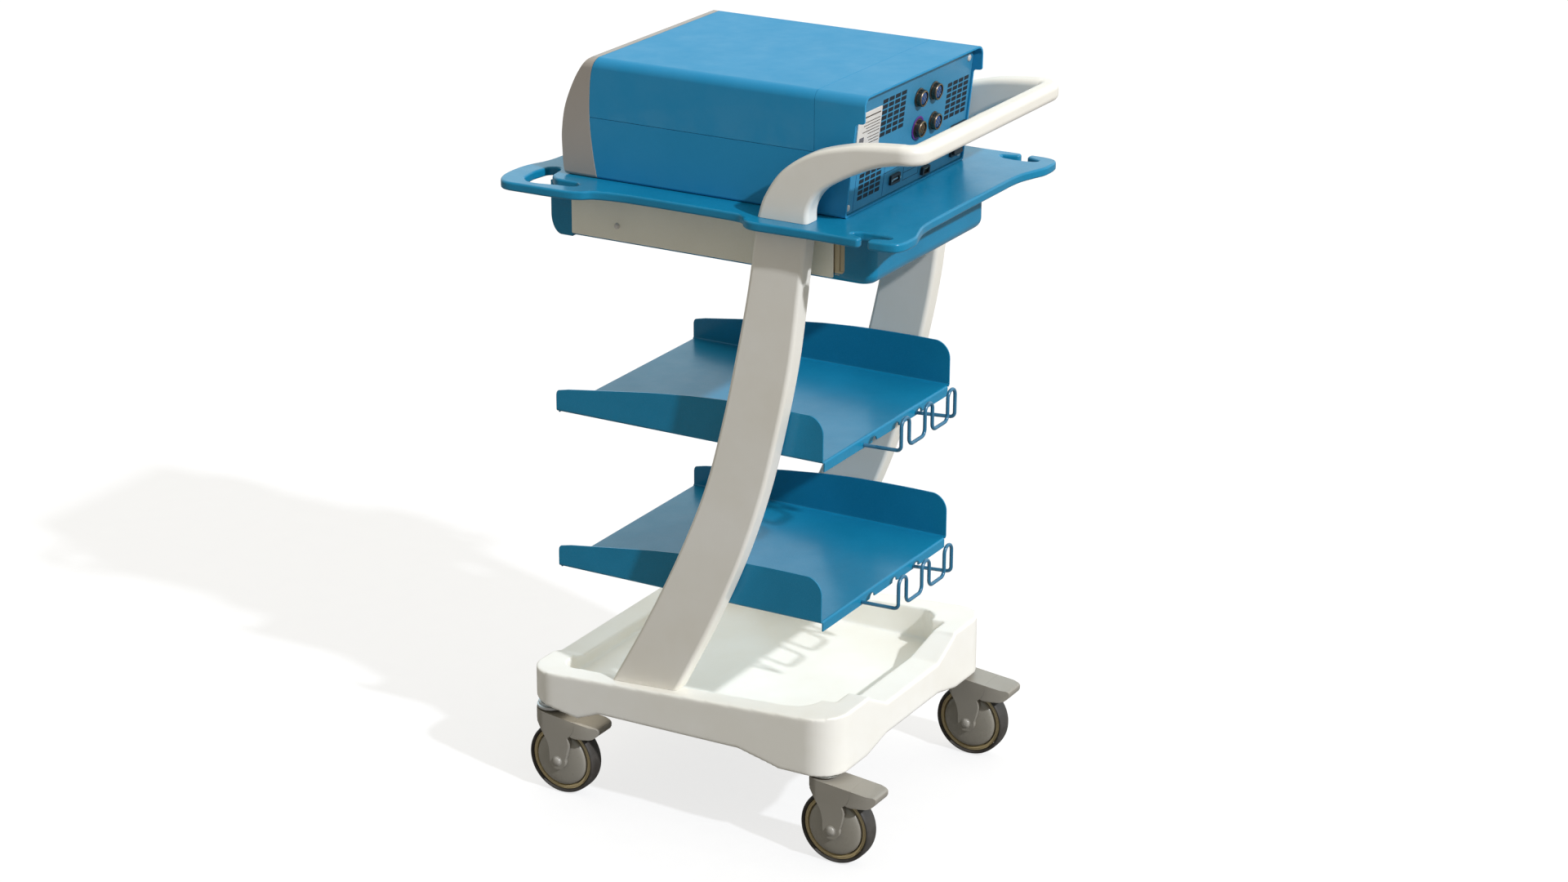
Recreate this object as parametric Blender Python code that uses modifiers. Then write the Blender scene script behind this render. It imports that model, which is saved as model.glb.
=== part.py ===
"""Mobile crash cart with a moulded base, curved posts, two shelves, a drawer under the top tray
and a console on it.

Metres, +Z up. +Y is the rear, where the push handle is; the drawer opens towards -Y; "right" is +X.
The origin is on the floor under the middle of the cart's whole outline, which is ORIGIN_Y behind
the middle of the base, because the push handle overhangs the rear. Lengths are written in
millimetres, measured from the middle of the base, and scaled by MILLI; the last lines move every
part to the origin.
"""
import math

import bmesh
import bpy
from mathutils import Matrix, Vector

for old in list(bpy.data.objects):
    bpy.data.objects.remove(old, do_unlink=True)

MILLI = 0.001

# ---------------------------------------------------------------- driving dimensions (mm)
ORIGIN_Y = 35.0                        # from the middle of the base to the middle of the outline
GAP = 0.3                              # clearance between parts that meet
REACH = 300.0                          # half length of cutters that pass right through the cart
SIDES = (("right", 1), ("left", -1))

POST_IN, POST_OUT = 178.0, 208.0       # inner and outer faces of a post
TRAY_BOT, TRAY_TOP = 851.3, 863.3
STEM_X = 195.3                         # caster stems
STEM_Y = {"front": -212.0, "rear": 212.0}

# ---------------------------------------------------------------- collections and materials
cart = bpy.data.collections.new("crash_cart")
tools = bpy.data.collections.new("cutters")
bpy.context.scene.collection.children.link(cart)
bpy.context.scene.collection.children.link(tools)
tools.hide_render = True


def material(name, colour, roughness, metallic=0.0):
    mat = bpy.data.materials.new(name)
    mat.use_nodes = True
    shader = mat.node_tree.nodes["Principled BSDF"]
    shader.inputs["Base Color"].default_value = (*colour, 1.0)
    shader.inputs["Roughness"].default_value = roughness
    shader.inputs["Metallic"].default_value = metallic
    mat.diffuse_color = (*colour, 1.0)
    return mat


BLUE = material("blue_powder_coat", colour=(0.03, 0.22, 0.42), roughness=0.35)
DEVICE_BLUE = material("console_blue", colour=(0.06, 0.28, 0.50), roughness=0.4)
IVORY = material("ivory_plastic", colour=(0.78, 0.75, 0.66), roughness=0.4)
BEIGE = material("beige_drawer_paint", colour=(0.60, 0.55, 0.43), roughness=0.45)
TAUPE = material("taupe_bezel_plastic", colour=(0.36, 0.31, 0.27), roughness=0.5)
GREY = material("grey_caster_plastic", colour=(0.36, 0.34, 0.31), roughness=0.45)
TYRE = material("tyre_rubber", colour=(0.05, 0.048, 0.045), roughness=0.7)
STEEL = material("zinc_steel", colour=(0.55, 0.54, 0.52), roughness=0.35, metallic=0.9)
BLACK = material("black_plastic", colour=(0.015, 0.015, 0.018), roughness=0.4)
BRONZE = material("connector_metal", colour=(0.16, 0.12, 0.09), roughness=0.35, metallic=0.9)
GLASS = material("display_glass", colour=(0.01, 0.012, 0.016), roughness=0.1)


# ---------------------------------------------------------------- objects and baking
def add_object(name, data, mat=None):
    """Links a new object: a part of the cart if it has a material, otherwise a cutter."""
    obj = bpy.data.objects.new(name, data)
    (cart if mat else tools).objects.link(obj)
    if mat:
        data.materials.append(mat)
    return obj


def solid_object(name, solid, mat=None):
    """An object from a bmesh, which is freed."""
    mesh = bpy.data.meshes.new(name)
    solid.to_mesh(mesh)
    solid.free()
    return add_object(name, mesh, mat)


def clean(mesh, dissolve=False):
    """Makes one welded mesh with its faces pointing out."""
    solid = bmesh.new()
    solid.from_mesh(mesh)
    bmesh.ops.remove_doubles(solid, verts=solid.verts, dist=1e-6)
    bmesh.ops.dissolve_degenerate(solid, dist=1e-7, edges=solid.edges)
    if dissolve:
        bmesh.ops.dissolve_limit(solid, angle_limit=math.radians(0.3),
                                 verts=solid.verts, edges=solid.edges)
    bmesh.ops.recalc_face_normals(solid, faces=solid.faces)
    if solid.calc_volume(signed=True) < 0:
        bmesh.ops.reverse_faces(solid, faces=solid.faces)
    solid.to_mesh(mesh)
    solid.free()
    mesh.update()


def bake(obj, dissolve=False):
    """Replaces an object by its evaluated mesh, with its placement applied."""
    bpy.context.view_layer.update()
    graph = bpy.context.evaluated_depsgraph_get()
    mesh = bpy.data.meshes.new_from_object(obj.evaluated_get(graph))
    mesh.transform(obj.matrix_world)
    clean(mesh, dissolve)
    mat = obj.data.materials[0] if obj.data.materials else None
    name = obj.name
    bpy.data.objects.remove(obj, do_unlink=True)
    mesh.materials.clear()
    return add_object(name, mesh, mat)


def placed(obj, place, dissolve=False):
    obj.matrix_world = place
    return bake(obj, dissolve)


def move(x, y, z):
    """A translation in mm."""
    return Matrix.Translation(Vector((x, y, z)) * MILLI)


def turn(angle, axis="X"):
    """A rotation in radians."""
    return Matrix.Rotation(angle, 4, axis)


def combine(obj, others, operation="DIFFERENCE"):
    """Cuts or joins meshes with exact Booleans, then removes the tools."""
    for other in others:
        boolean = obj.modifiers.new(operation.lower(), "BOOLEAN")
        boolean.operation = operation
        boolean.solver = "EXACT"
        boolean.object = other
    obj = bake(obj, dissolve=True)
    for other in others:
        bpy.data.objects.remove(other, do_unlink=True)
    return obj


def bevelled(obj, width, angle):
    """Rounds the edges sharper than an angle in degrees."""
    bevel = obj.modifiers.new("edges", "BEVEL")
    bevel.width = width * MILLI
    bevel.segments = 2
    bevel.limit_method = "ANGLE"
    bevel.angle_limit = math.radians(angle)
    bevel.use_clamp_overlap = True
    return bake(obj)


# ---------------------------------------------------------------- basic solids
ON_YZ = Matrix(((0, 0, 1, 0), (1, 0, 0, 0), (0, 1, 0, 0), (0, 0, 0, 1)))   # outline is y, z
ON_XZ = Matrix(((1, 0, 0, 0), (0, 0, -1, 0), (0, 1, 0, 0), (0, 0, 0, 1)))  # outline is x, z
ON_XY = Matrix.Identity(4)


def plate(name, loops, span, plane, mat=None):
    """A flat outline, with any holes as further loops, filling a span of the plane's normal."""
    low, high = span
    curve = bpy.data.curves.new(name, "CURVE")
    curve.dimensions = "2D"
    curve.fill_mode = "BOTH"
    curve.extrude = abs(high - low) / 2 * MILLI
    for loop in loops:
        spline = curve.splines.new("POLY")
        spline.points.add(len(loop) - 1)
        for point, (x, y) in zip(spline.points, loop):
            point.co = (x * MILLI, y * MILLI, 0, 1)
        spline.use_cyclic_u = True
    middle = (low + high) / 2
    if plane is ON_XZ:                 # this plane's local Z points to -Y
        middle = -middle
    return placed(add_object(name, curve, mat), plane @ move(0, 0, middle), dissolve=True)


def box(name, x_span, y_span, z_span, mat=None):
    spans = (x_span, y_span, z_span)
    size = Matrix.Diagonal((*((high - low) * MILLI for low, high in spans), 1))
    middle = move(*((low + high) / 2 for low, high in spans))
    solid = bmesh.new()
    bmesh.ops.create_cube(solid, size=1.0, matrix=middle @ size)
    return solid_object(name, solid, mat)


def rod(name, radius, start, end, segments):
    """A capped cylinder between two points, used as a Boolean tool."""
    first, last = Vector(start) * MILLI, Vector(end) * MILLI
    along = last - first
    aim = along.to_track_quat("Z", "Y").to_matrix().to_4x4()
    solid = bmesh.new()
    bmesh.ops.create_cone(solid, cap_ends=True, segments=segments, radius1=radius * MILLI,
                          radius2=radius * MILLI, depth=along.length,
                          matrix=Matrix.Translation((first + last) / 2) @ aim)
    return solid_object(name, solid)


def turned(name, profile, segments, place, mat, closed=False):
    """A profile of (radius, height) turned about its local Z with a Screw modifier."""
    mesh = bpy.data.meshes.new(name)
    verts = [(radius * MILLI, 0, height * MILLI) for radius, height in profile]
    edges = [(i, i + 1) for i in range(len(verts) - 1)]
    if closed:
        edges.append((len(verts) - 1, 0))
    mesh.from_pydata(verts, edges, [])
    obj = add_object(name, mesh, mat)
    screw = obj.modifiers.new("turn", "SCREW")
    screw.axis = "Z"
    screw.angle = math.tau
    screw.steps = screw.render_steps = segments
    screw.use_merge_vertices = True
    screw.merge_threshold = 0.00001
    return placed(obj, place)


def lofted(name, rings, mat):
    """A closed body through equal-length rings of points, with flat ends."""
    solid = bmesh.new()
    rows = [[solid.verts.new(Vector(point) * MILLI) for point in ring] for ring in rings]
    count = len(rings[0])
    for row, following in zip(rows, rows[1:]):
        for i in range(count):
            j = (i + 1) % count
            solid.faces.new((row[i], row[j], following[j], following[i]))
    solid.faces.new(rows[0])
    solid.faces.new(list(reversed(rows[-1])))
    obj = solid_object(name, solid, mat)
    clean(obj.data)
    return obj


# ---------------------------------------------------------------- outlines
def arc(centre_x, centre_y, radius, start, stop, steps):
    """Points on an arc between two angles in degrees."""
    angles = [math.radians(start + (stop - start) * i / steps) for i in range(steps + 1)]
    return [(centre_x + radius * math.cos(angle), centre_y + radius * math.sin(angle))
            for angle in angles]


def filleted(points, steps=4):
    """Rounds a closed outline: each point is (x, y) or (x, y, radius)."""
    out = []
    for i, point in enumerate(points):
        radius = point[2] if len(point) > 2 else 0.0
        corner = Vector(point[:2])
        if radius <= 0:
            out.append(tuple(corner))
            continue
        before = Vector(points[i - 1][:2]) - corner
        after = Vector(points[(i + 1) % len(points)][:2]) - corner
        back, ahead = before.normalized(), after.normalized()
        half = math.acos(max(-1, min(1, back.dot(ahead)))) / 2
        run = min(radius / math.tan(half), before.length * 0.49, after.length * 0.49)
        radius = run * math.tan(half)
        centre = corner + (back + ahead).normalized() * (radius / math.sin(half))
        first, last = corner + back * run - centre, corner + ahead * run - centre
        start = math.atan2(first.y, first.x)
        sweep = math.atan2(last.y, last.x) - start
        while sweep > math.pi:
            sweep -= math.tau
        while sweep < -math.pi:
            sweep += math.tau
        for k in range(steps + 1):
            angle = start + sweep * k / steps
            out.append((centre.x + radius * math.cos(angle), centre.y + radius * math.sin(angle)))
    return out


def smooth(points):
    """Puts one point of a Catmull-Rom curve between each two of the given ones."""
    out = []
    last = len(points) - 1
    for i in range(last):
        before, start, stop, after = (Vector(points[max(0, min(last, i + k))])
                                      for k in (-1, 0, 1, 2))
        for t in (0.0, 0.5):
            out.append(tuple(0.5 * (2 * start + (stop - before) * t
                                    + (2 * before - 5 * start + 4 * stop - after) * t * t
                                    + (3 * start - before - 3 * stop + after) * t ** 3)))
    return out + [tuple(points[-1])]


def mirrored(half):
    """A closed outline from its half on one side of x = 0; points may carry a fillet radius."""
    return half + [(-x, *rest) for x, *rest in reversed(half) if abs(x) > 1e-6]


def shifted(outline, across, up=0.0):
    return [(x + across, y + up) for x, y in outline]


# ---------------------------------------------------------------- base
BASE_X, BASE_Y = 222.0, 239.0          # half width and half length
BASE_CORNER = 44.0
BASE_BLANK_TOP = 230.0                 # height before the rim is cut
PAD_Z = 123.5                          # underside at the corners
SIDE_ARCH_Z, END_ARCH_Z = 137.0, 134.5  # underside between the corners
PAN_Z = 155.0                          # floor of the base tray
RIM_SLOPE = 0.059                      # the side rims rise towards the rear
RIM_Y, RIM_Z = -216.8, 179.9           # a point on the rim line
RISE_Y = -157.0                        # where the front underside starts to climb

# (y, z)
SIDE_ARCH = [(-156, 100), (-156, PAD_Z), (-122, SIDE_ARCH_Z), (94, SIDE_ARCH_Z + 1.5),
             (154, PAD_Z + 0.5), (154, 100)]
PAN_REAR = [(150, PAN_Z), (184, PAN_Z), (209, 212), (209, 260), (150, 260)]
FRONT_RISE = [(-262, 100), (-262, 141.4), (RISE_Y, PAD_Z), (RISE_Y, 100)]
# (x, z), left halves
END_ARCH = [(-127, 100), (-127, PAD_Z), (-76, END_ARCH_Z)]
REAR_DIP = [(-126, 240), (-122, 204), (-74, 180)]
FRONT_DIP = [(-156, 240), (-150, 179), (-130, 173)]
# (x, y, corner radius), right half
PAN = [(190, -202, 26), (190, 184, 34)]


def rim_z(y):
    return RIM_Z + (y - RIM_Y) * RIM_SLOPE


def build_base():
    through = (-REACH, REACH)
    outline = filleted(mirrored([(BASE_X, -BASE_Y, BASE_CORNER), (BASE_X, BASE_Y, BASE_CORNER)]), 5)
    body = plate("base_tray", [outline], (PAD_Z, BASE_BLANK_TOP), ON_XY, IVORY)
    top = placed(box("cut_top", through, through, (0, 100)),
                 move(0, 0, rim_z(0)) @ turn(math.atan(RIM_SLOPE)))
    side_arch = plate("cut_side", [SIDE_ARCH], through, ON_YZ)
    end_arch = plate("cut_end", [mirrored(END_ARCH)], through, ON_XZ)
    rear_dip = plate("cut_rear_dip", [mirrored(REAR_DIP)], (100, REACH), ON_XZ)
    front_dip = plate("cut_front_dip", [mirrored(FRONT_DIP)], (-REACH, -190), ON_XZ)
    pan = plate("cut_pan", [filleted(mirrored(PAN), 5)], (PAN_Z, 260), ON_XY)
    # the pan's rear wall leans back towards the rim
    pan = combine(pan, [plate("cut_lean", [PAN_REAR], (-156, 156), ON_YZ)], "UNION")
    # the underside climbs towards the front end, over the front casters
    rise = plate("cut_rise", [FRONT_RISE], through, ON_YZ)
    body = combine(body, [top, side_arch, end_arch, rear_dip, front_dip, pan])
    combine(body, [rise])


build_base()

# ---------------------------------------------------------------- posts
# edges of a post from the base up, (y, z)
POST_FRONT = [(-108, 186), (-55, 283), (-5, 386), (35, 485), (61, 580), (81, 671), (98, 760),
              (111, TRAY_BOT - GAP)]
POST_REAR = [(-7, 192), (44, 293), (89, 395), (122, 492), (145, 585), (163, 676), (174, 764),
             (183.5, TRAY_BOT - GAP)]
POST_FOOT_GAP = 0.35                   # between the foot and the sloping rim


def on_rim(edge):
    """Moves the lowest point of a post's edge to just above the rim."""
    y = edge[0][0]
    return [(y, rim_z(y) + POST_FOOT_GAP)] + edge[1:]


def build_post(side, sign):
    outline = on_rim(smooth(POST_FRONT)) + on_rim(smooth(POST_REAR))[::-1]
    post = plate(f"post_{side}", [outline], sorted((sign * POST_IN, sign * POST_OUT)), ON_YZ, IVORY)
    bevelled(post, width=5.0, angle=50)


for side, sign in SIDES:
    build_post(side, sign)

# ---------------------------------------------------------------- push handle
# edges of an arm from the tray back to the bar, (y, z)
HANDLE_OUT = [(113, TRAY_TOP + GAP), (122, 891), (146, 926), (187, 954), (234, 969), (270, 975),
              (309, 978.5)]
HANDLE_IN = [(185, TRAY_TOP + GAP), (187, 884), (201, 906), (230, 925), (257, 938.5), (283, 948.5),
             (309, 954)]
ARM_X = (POST_IN + POST_OUT) / 2
ARM_WIDTH = POST_OUT - POST_IN
ARM_TAPER = 3.0                        # width lost between the tray and the bend
ARM_ROUND, BAR_ROUND = 6.0, 6.5        # corner radii of the sections
BAR_Y, BAR_Z = 326.5, 966.3            # centre line of the cross bar
BAR_WIDTH, BAR_HEIGHT = 25.0, 24.0
BEND_RADIUS = 17.5
BEND_STEPS = 4


def section(centre, across, up, width, height, radius):
    """A rounded rectangle ring; across and up are unit vectors."""
    ring = []
    for sign_x, sign_y, start in ((1, 1, 0), (-1, 1, 90), (-1, -1, 180), (1, -1, 270)):
        for k in range(3):
            angle = math.radians(start + 45 * k)
            ring.append(tuple(
                centre + across * (sign_x * (width / 2 - radius) + radius * math.cos(angle))
                + up * (sign_y * (height / 2 - radius) + radius * math.sin(angle))))
    return ring


def build_handle():
    """One loop standing on the tray: the right arm and bend, and their mirror image."""
    rings = []
    outer, inner = smooth(HANDLE_OUT), smooth(HANDLE_IN)
    for i, (out_point, in_point) in enumerate(zip(outer, inner)):
        top, bottom = Vector((0, *out_point)), Vector((0, *in_point))
        up = top - bottom
        height = up.length
        up.normalize()
        width = ARM_WIDTH - ARM_TAPER * i / (len(outer) - 1)
        centre = (top + bottom) / 2 + Vector((ARM_X, 0, 0))
        rings.append(section(centre, Vector((1, 0, 0)), up, width, height, ARM_ROUND))
    arm_end = HANDLE_OUT[-1][0]
    bend_width = ARM_WIDTH - ARM_TAPER
    for k in range(1, BEND_STEPS + 1):
        angle = math.radians(90 * k / BEND_STEPS)
        across = Vector((math.cos(angle), math.sin(angle), 0))
        centre = Vector((ARM_X - BEND_RADIUS + BEND_RADIUS * across.x,
                         arm_end + (BAR_Y - arm_end) * across.y, BAR_Z))
        width = bend_width - (bend_width - BAR_WIDTH) * k / BEND_STEPS
        rings.append(section(centre, across, Vector((0, 0, 1)), width, BAR_HEIGHT, BAR_ROUND))
    left = [[(-x, y, z) for x, y, z in ring] for ring in reversed(rings)]
    lofted("push_handle", rings + left, IVORY)


build_handle()

# ---------------------------------------------------------------- top tray
# right half of the outline, (x, y): the front and side, a notch near the rear, the rear edge
TRAY_FRONT = [
    (0, -252), (105, -253), (150, -266), (176, -269), (203, -267), (222, -259), (232, -246),
    (232.5, -215), (231, -160), (225, -138), (214, -122), (208, -92), (206, -50), (206, 70),
    (212, 94), (224, 104), (230.5, 119), (230, 150), (228.5, 210), (229.5, 262)]
TRAY_NOTCH = [
    (227, 268), (218.5, 268), (213.4, 256), (210.5, 247.5), (204, 246.8), (198.3, 257),
    (197.2, 270.8), (197.8, 283), (199.5, 292), (203, 300.5), (208.5, 301.5), (214.3, 287),
    (218, 280.5), (227, 280.5)]
TRAY_REAR = [
    (229.3, 288), (228.6, 305), (225, 316.5), (217.5, 322.5), (207, 325), (192, 325.5),
    (180, 324.3), (164, 319), (140, 312), (115, 309.5), (90, 309.3), (0, 309)]
# grip opening in the right front corner, (x, y)
TRAY_GRIP = [
    (139, -222), (146, -235), (174, -239), (203, -235), (216, -222), (216, -205), (210, -180),
    (207, -158), (196, -154), (188, -164), (188, -197), (175, -211), (148, -215)]
GRIP_ROUND = 7


def build_top_tray():
    grip = filleted([(x, y, GRIP_ROUND) for x, y in TRAY_GRIP], 2)
    loops = [mirrored(TRAY_FRONT + TRAY_NOTCH + TRAY_REAR), grip, [(-x, y) for x, y in grip]]
    plate("top_tray", loops, (TRAY_BOT, TRAY_TOP), ON_XY, BLUE)


build_top_tray()

# ---------------------------------------------------------------- shelves and cable hook racks
SHELF_X = 177.5
SHELF_Y0, SHELF_Y1 = -208.6, 194.0
DECK_Z = {"upper": 542.0, "lower": 321.5}
SHEET = 2.0
REAR_LIP, FRONT_LIP = 14.0, 4.5        # depth of the lips below the deck
# top edge of the side flanges, front to rear (y, height above the deck)
FLANGE_FRONT = [(SHELF_Y0 - 9, 18), (SHELF_Y0, 20), (SHELF_Y0 + 3, 26), (SHELF_Y0 + 9, 29)]
FLANGE_MIDDLE = [(-140, 39), (-61, 49.5), (52, 59), (146, 61)]
FLANGE_REAR = [(SHELF_Y1, 24), (SHELF_Y1 + 9, 20)]
FLANGE_ROUND = 23.6
LIP_HOLE_X = (37, -26, -89)
LIP_HOLE_RADIUS = 6.0

RACK_WIRE = 2.2                        # wire radius
RACK_Y = 250.0
HOOK_TURN, END_TURN = 8, 7             # how far each corner's bend reaches along the wire


def build_shelf(name, deck):
    """A folded sheet: side flanges that rise to the rear, and a lip turned down at each end,
    deeper at the rear."""
    wide = (-SHELF_X - 9, SHELF_X + 9)
    sheet = box(name, (-SHELF_X, SHELF_X), (SHELF_Y0, SHELF_Y1), (deck - REAR_LIP, deck + 70), BLUE)
    above = box("cut_above", (-SHELF_X + SHEET, SHELF_X - SHEET), (SHELF_Y0 - 9, SHELF_Y1 + 9),
                (deck, deck + 90))
    below = box("cut_below", wide, (SHELF_Y0 + SHEET, SHELF_Y1 - SHEET), (deck - 30, deck - SHEET))
    flange = (shifted(FLANGE_FRONT, 0, deck) + smooth(shifted(FLANGE_MIDDLE, 0, deck))
              + arc(SHELF_Y1 - 24, deck + 37, FLANGE_ROUND, 88, 8, 5)
              + shifted(FLANGE_REAR, 0, deck))
    over = [(SHELF_Y1 + 9, deck + 120), (SHELF_Y0 - 9, deck + 120)]
    trim = plate("cut_trim", [flange + over], (-200, 200), ON_YZ)
    front = box("cut_front_lip", wide, (SHELF_Y0 - 9, SHELF_Y0 + 9), (deck - 30, deck - FRONT_LIP))
    sheet = combine(sheet, [above, below, trim, front])
    hole_z = deck - 12
    combine(sheet, [rod("cut_hole", LIP_HOLE_RADIUS, (x, SHELF_Y1 - 8, hole_z),
                        (x, SHELF_Y1 + 8, hole_z), 14) for x in LIP_HOLE_X])


def build_rack(name, deck):
    """A wire bent into two hanging U loops between arms that come back from the shelf."""
    start_y = SHELF_Y1 + 2.5
    top, bottom, end_z = deck + 35.5, deck - 6.0, deck - 10.0
    # (x, z) of the bends that face the rear
    hooks = [(70, top), (48, top), (48, bottom), (4, bottom), (4, top), (-17, top),
             (-17, bottom), (-61, bottom), (-61, top), (-82, top)]
    # corners of the wire, each with the reach of its bend
    corners = [((67, start_y, end_z), 0), ((70, RACK_Y, end_z + 4), END_TURN)]
    corners += [((x, RACK_Y, z), HOOK_TURN) for x, z in hooks]
    corners += [((-82, RACK_Y, end_z + 4), END_TURN), ((-79, start_y, end_z), 0)]
    path = []
    for i, (corner, reach) in enumerate(corners):
        corner = Vector(corner)
        if reach == 0:
            path.append(corner)
            continue
        start = corner + (Vector(corners[i - 1][0]) - corner).normalized() * reach
        stop = corner + (Vector(corners[i + 1][0]) - corner).normalized() * reach
        for t in (0.0, 0.5, 1.0):
            path.append(start * (1 - t) ** 2 + corner * 2 * t * (1 - t) + stop * t * t)
    curve = bpy.data.curves.new(name, "CURVE")
    curve.dimensions = "3D"
    curve.bevel_depth = RACK_WIRE * MILLI
    curve.bevel_resolution = 1
    curve.use_fill_caps = True
    spline = curve.splines.new("POLY")
    spline.points.add(len(path) - 1)
    for target, point in zip(spline.points, path):
        target.co = (*(point * MILLI), 1)
    bake(add_object(name, curve, BLUE))


for level, deck in DECK_Z.items():
    build_shelf(f"{level}_shelf", deck)
    build_rack(f"{level}_hook_rack", deck)

# ---------------------------------------------------------------- drawer and its housing
HOUSE_X = 155.0
HOUSE_Y0, HOUSE_Y1 = -226.0, 251.0     # face of the drawer front, rear of the housing
HOUSE_Z0, HOUSE_Z1 = 778.0, 851.0
HOUSE_MOUTH_Y = -193.0                 # front edge of the housing
HOUSE_WALL = 2.0
HOUSE_ROUND = 12
# opening in each side wall, (y, z, corner radius)
HOUSE_WINDOW = [(-205, 788), (211, 788, 7), (211, 838, 7), (-205, 838)]
SIDE_COVER = [(-193, 783, 2), (195, 783, 2), (195, 850.8, 2), (-193, 850.8, 2)]  # likewise
SIDE_COVER_OUT = 2.5                   # outer face, from the housing's side

FRONT_BACK_Y = HOUSE_MOUTH_Y - 0.4     # rear face of the drawer front
FRONT_TOP_Z = HOUSE_Z1 - 1.5
FRONT_CURVE_Y, FRONT_CURVE_Z = 16, 27  # half axes of its curved lower edge
FRONT_WALL = 4

BOX_X = 138.0                          # half width of the sliding drawer box
BOX_Y0, BOX_Y1 = -192.9, 225.0
BOX_Z0, BOX_Z1 = 783.0, 838.0
BOX_WALL = 2.0

SLIDE_Y0 = -189.0
SLIDE_WALL = 1.4
SCREW_Y, SCREW_Z = -123, 803
SCREW_PROFILE = [(0, 4.2), (1.8, 4.0), (3.2, 3.0), (3.8, 0), (0, 0)]   # (radius, height)


def rounded_box(name, half_width, y_span, z_span, radius, mat=None):
    """A box whose rear vertical and rear bottom edges are rounded."""
    body = box(name, (-half_width, half_width), y_span, z_span, mat)
    bevel = body.modifiers.new("edges", "BEVEL")
    bevel.width = radius * MILLI
    bevel.segments = 4
    bevel.limit_method = "WEIGHT"
    weights = body.data.attributes.new("bevel_weight_edge", "FLOAT", "EDGE")
    for edge in body.data.edges:
        start, stop = (body.data.vertices[i].co for i in edge.vertices)
        rear = min(start.y, stop.y) > (y_span[1] - 1) * MILLI
        upright = abs(start.z - stop.z) > 1e-6
        low = max(start.z, stop.z) < (z_span[0] + 1) * MILLI
        weights.data[edge.index].value = 1.0 if rear and (upright or low) else 0.0
    return bake(body)


def build_housing():
    body = rounded_box("drawer_housing", HOUSE_X, (HOUSE_MOUTH_Y, HOUSE_Y1), (HOUSE_Z0, HOUSE_Z1),
                       HOUSE_ROUND, BLUE)
    hollow = rounded_box("cut_hollow", HOUSE_X - HOUSE_WALL,
                         (HOUSE_MOUTH_Y - 10, HOUSE_Y1 - HOUSE_WALL),
                         (HOUSE_Z0 + HOUSE_WALL, HOUSE_Z1 + 10), HOUSE_ROUND - HOUSE_WALL)
    window = plate("cut_window", [filleted(HOUSE_WINDOW, 3)], (-200, 200), ON_YZ)
    combine(combine(body, [hollow]), [window])


def build_drawer_front():
    """A hollow moulding with a curved lower front edge."""
    curve = [(HOUSE_Y0 + FRONT_CURVE_Y * (1 - math.cos(math.radians(i))),
              HOUSE_Z0 + FRONT_CURVE_Z * (1 - math.sin(math.radians(i)))) for i in range(0, 91, 15)]
    profile = ([(FRONT_BACK_Y, FRONT_TOP_Z), (HOUSE_Y0, FRONT_TOP_Z)] + curve
               + [(FRONT_BACK_Y, HOUSE_Z0)])
    front = plate("drawer_front", [profile], (-HOUSE_X, HOUSE_X), ON_YZ, BLUE)
    top, back = FRONT_TOP_Z - 8, FRONT_BACK_Y + 5
    face, floor = HOUSE_Y0 + FRONT_WALL, HOUSE_Z0 + FRONT_WALL
    inside = [(back, top), (face, top), (face, HOUSE_Z0 + FRONT_CURVE_Z),
              (HOUSE_Y0 + 9, HOUSE_Z0 + 11), (HOUSE_Y0 + 19, floor), (back, floor)]
    half = HOUSE_X - FRONT_WALL
    combine(front, [plate("cut_front", [inside], (-half, half), ON_YZ)])


def build_drawer_box():
    body = box("drawer_box", (-BOX_X, BOX_X), (BOX_Y0, BOX_Y1), (BOX_Z0, BOX_Z1), BEIGE)
    half = BOX_X - BOX_WALL
    hollow = box("cut_box", (-half, half), (BOX_Y0 + BOX_WALL, BOX_Y1 - BOX_WALL),
                 (BOX_Z0 + BOX_WALL, BOX_Z1 + 12))
    combine(body, [hollow])


def build_slides(side, sign):
    """A C section rail with its mouth towards the drawer, and the bar that runs in it."""
    low, high = sorted((sign * (BOX_X + 8.2), sign * (BOX_X + 14.6)))
    y0, y1, z0, z1 = SLIDE_Y0, 209, 792, 832
    rail = box(f"slide_outer_{side}", (low, high), (y0, y1), (z0, z1), STEEL)
    mouth_x = (low - 5, high - SLIDE_WALL) if sign > 0 else (low + SLIDE_WALL, high + 5)
    mouth = box("cut_mouth", mouth_x, (y0 - 5, y1 + 5), (z0 + SLIDE_WALL, z1 - SLIDE_WALL))
    combine(rail, [mouth])
    span = sorted((sign * (BOX_X + 0.4), sign * (BOX_X + 12.6)))
    box(f"slide_inner_{side}", span, (SLIDE_Y0, 196), (796, 828), STEEL)


def build_side_cover(side, sign):
    span = sorted((sign * (HOUSE_X + GAP), sign * (HOUSE_X + SIDE_COVER_OUT)))
    plate(f"side_cover_{side}", [filleted(SIDE_COVER, 2)], span, ON_YZ, BEIGE)
    place = (move(sign * (HOUSE_X + SIDE_COVER_OUT + GAP), SCREW_Y, SCREW_Z)
             @ turn(sign * math.pi / 2, "Y"))
    turned(f"thumb_screw_{side}", SCREW_PROFILE, 12, place, STEEL)


build_housing()
build_drawer_front()
build_drawer_box()
for side, sign in SIDES:
    build_slides(side, sign)
    build_side_cover(side, sign)

# ---------------------------------------------------------------- casters
# y is measured from the stem's axis and z from the floor
WHEEL_R, WHEEL_W = 51.0, 27.0
TRAIL = 21.0                           # wheel axle behind the stem
FORK_W, FORK_GAP = 44.0, 31.0          # outside width, and between the legs
FORK_HALF = FORK_W / 2
PIVOT_Y, PIVOT_Z = 24.0, 108.5         # pedal pivot

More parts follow.
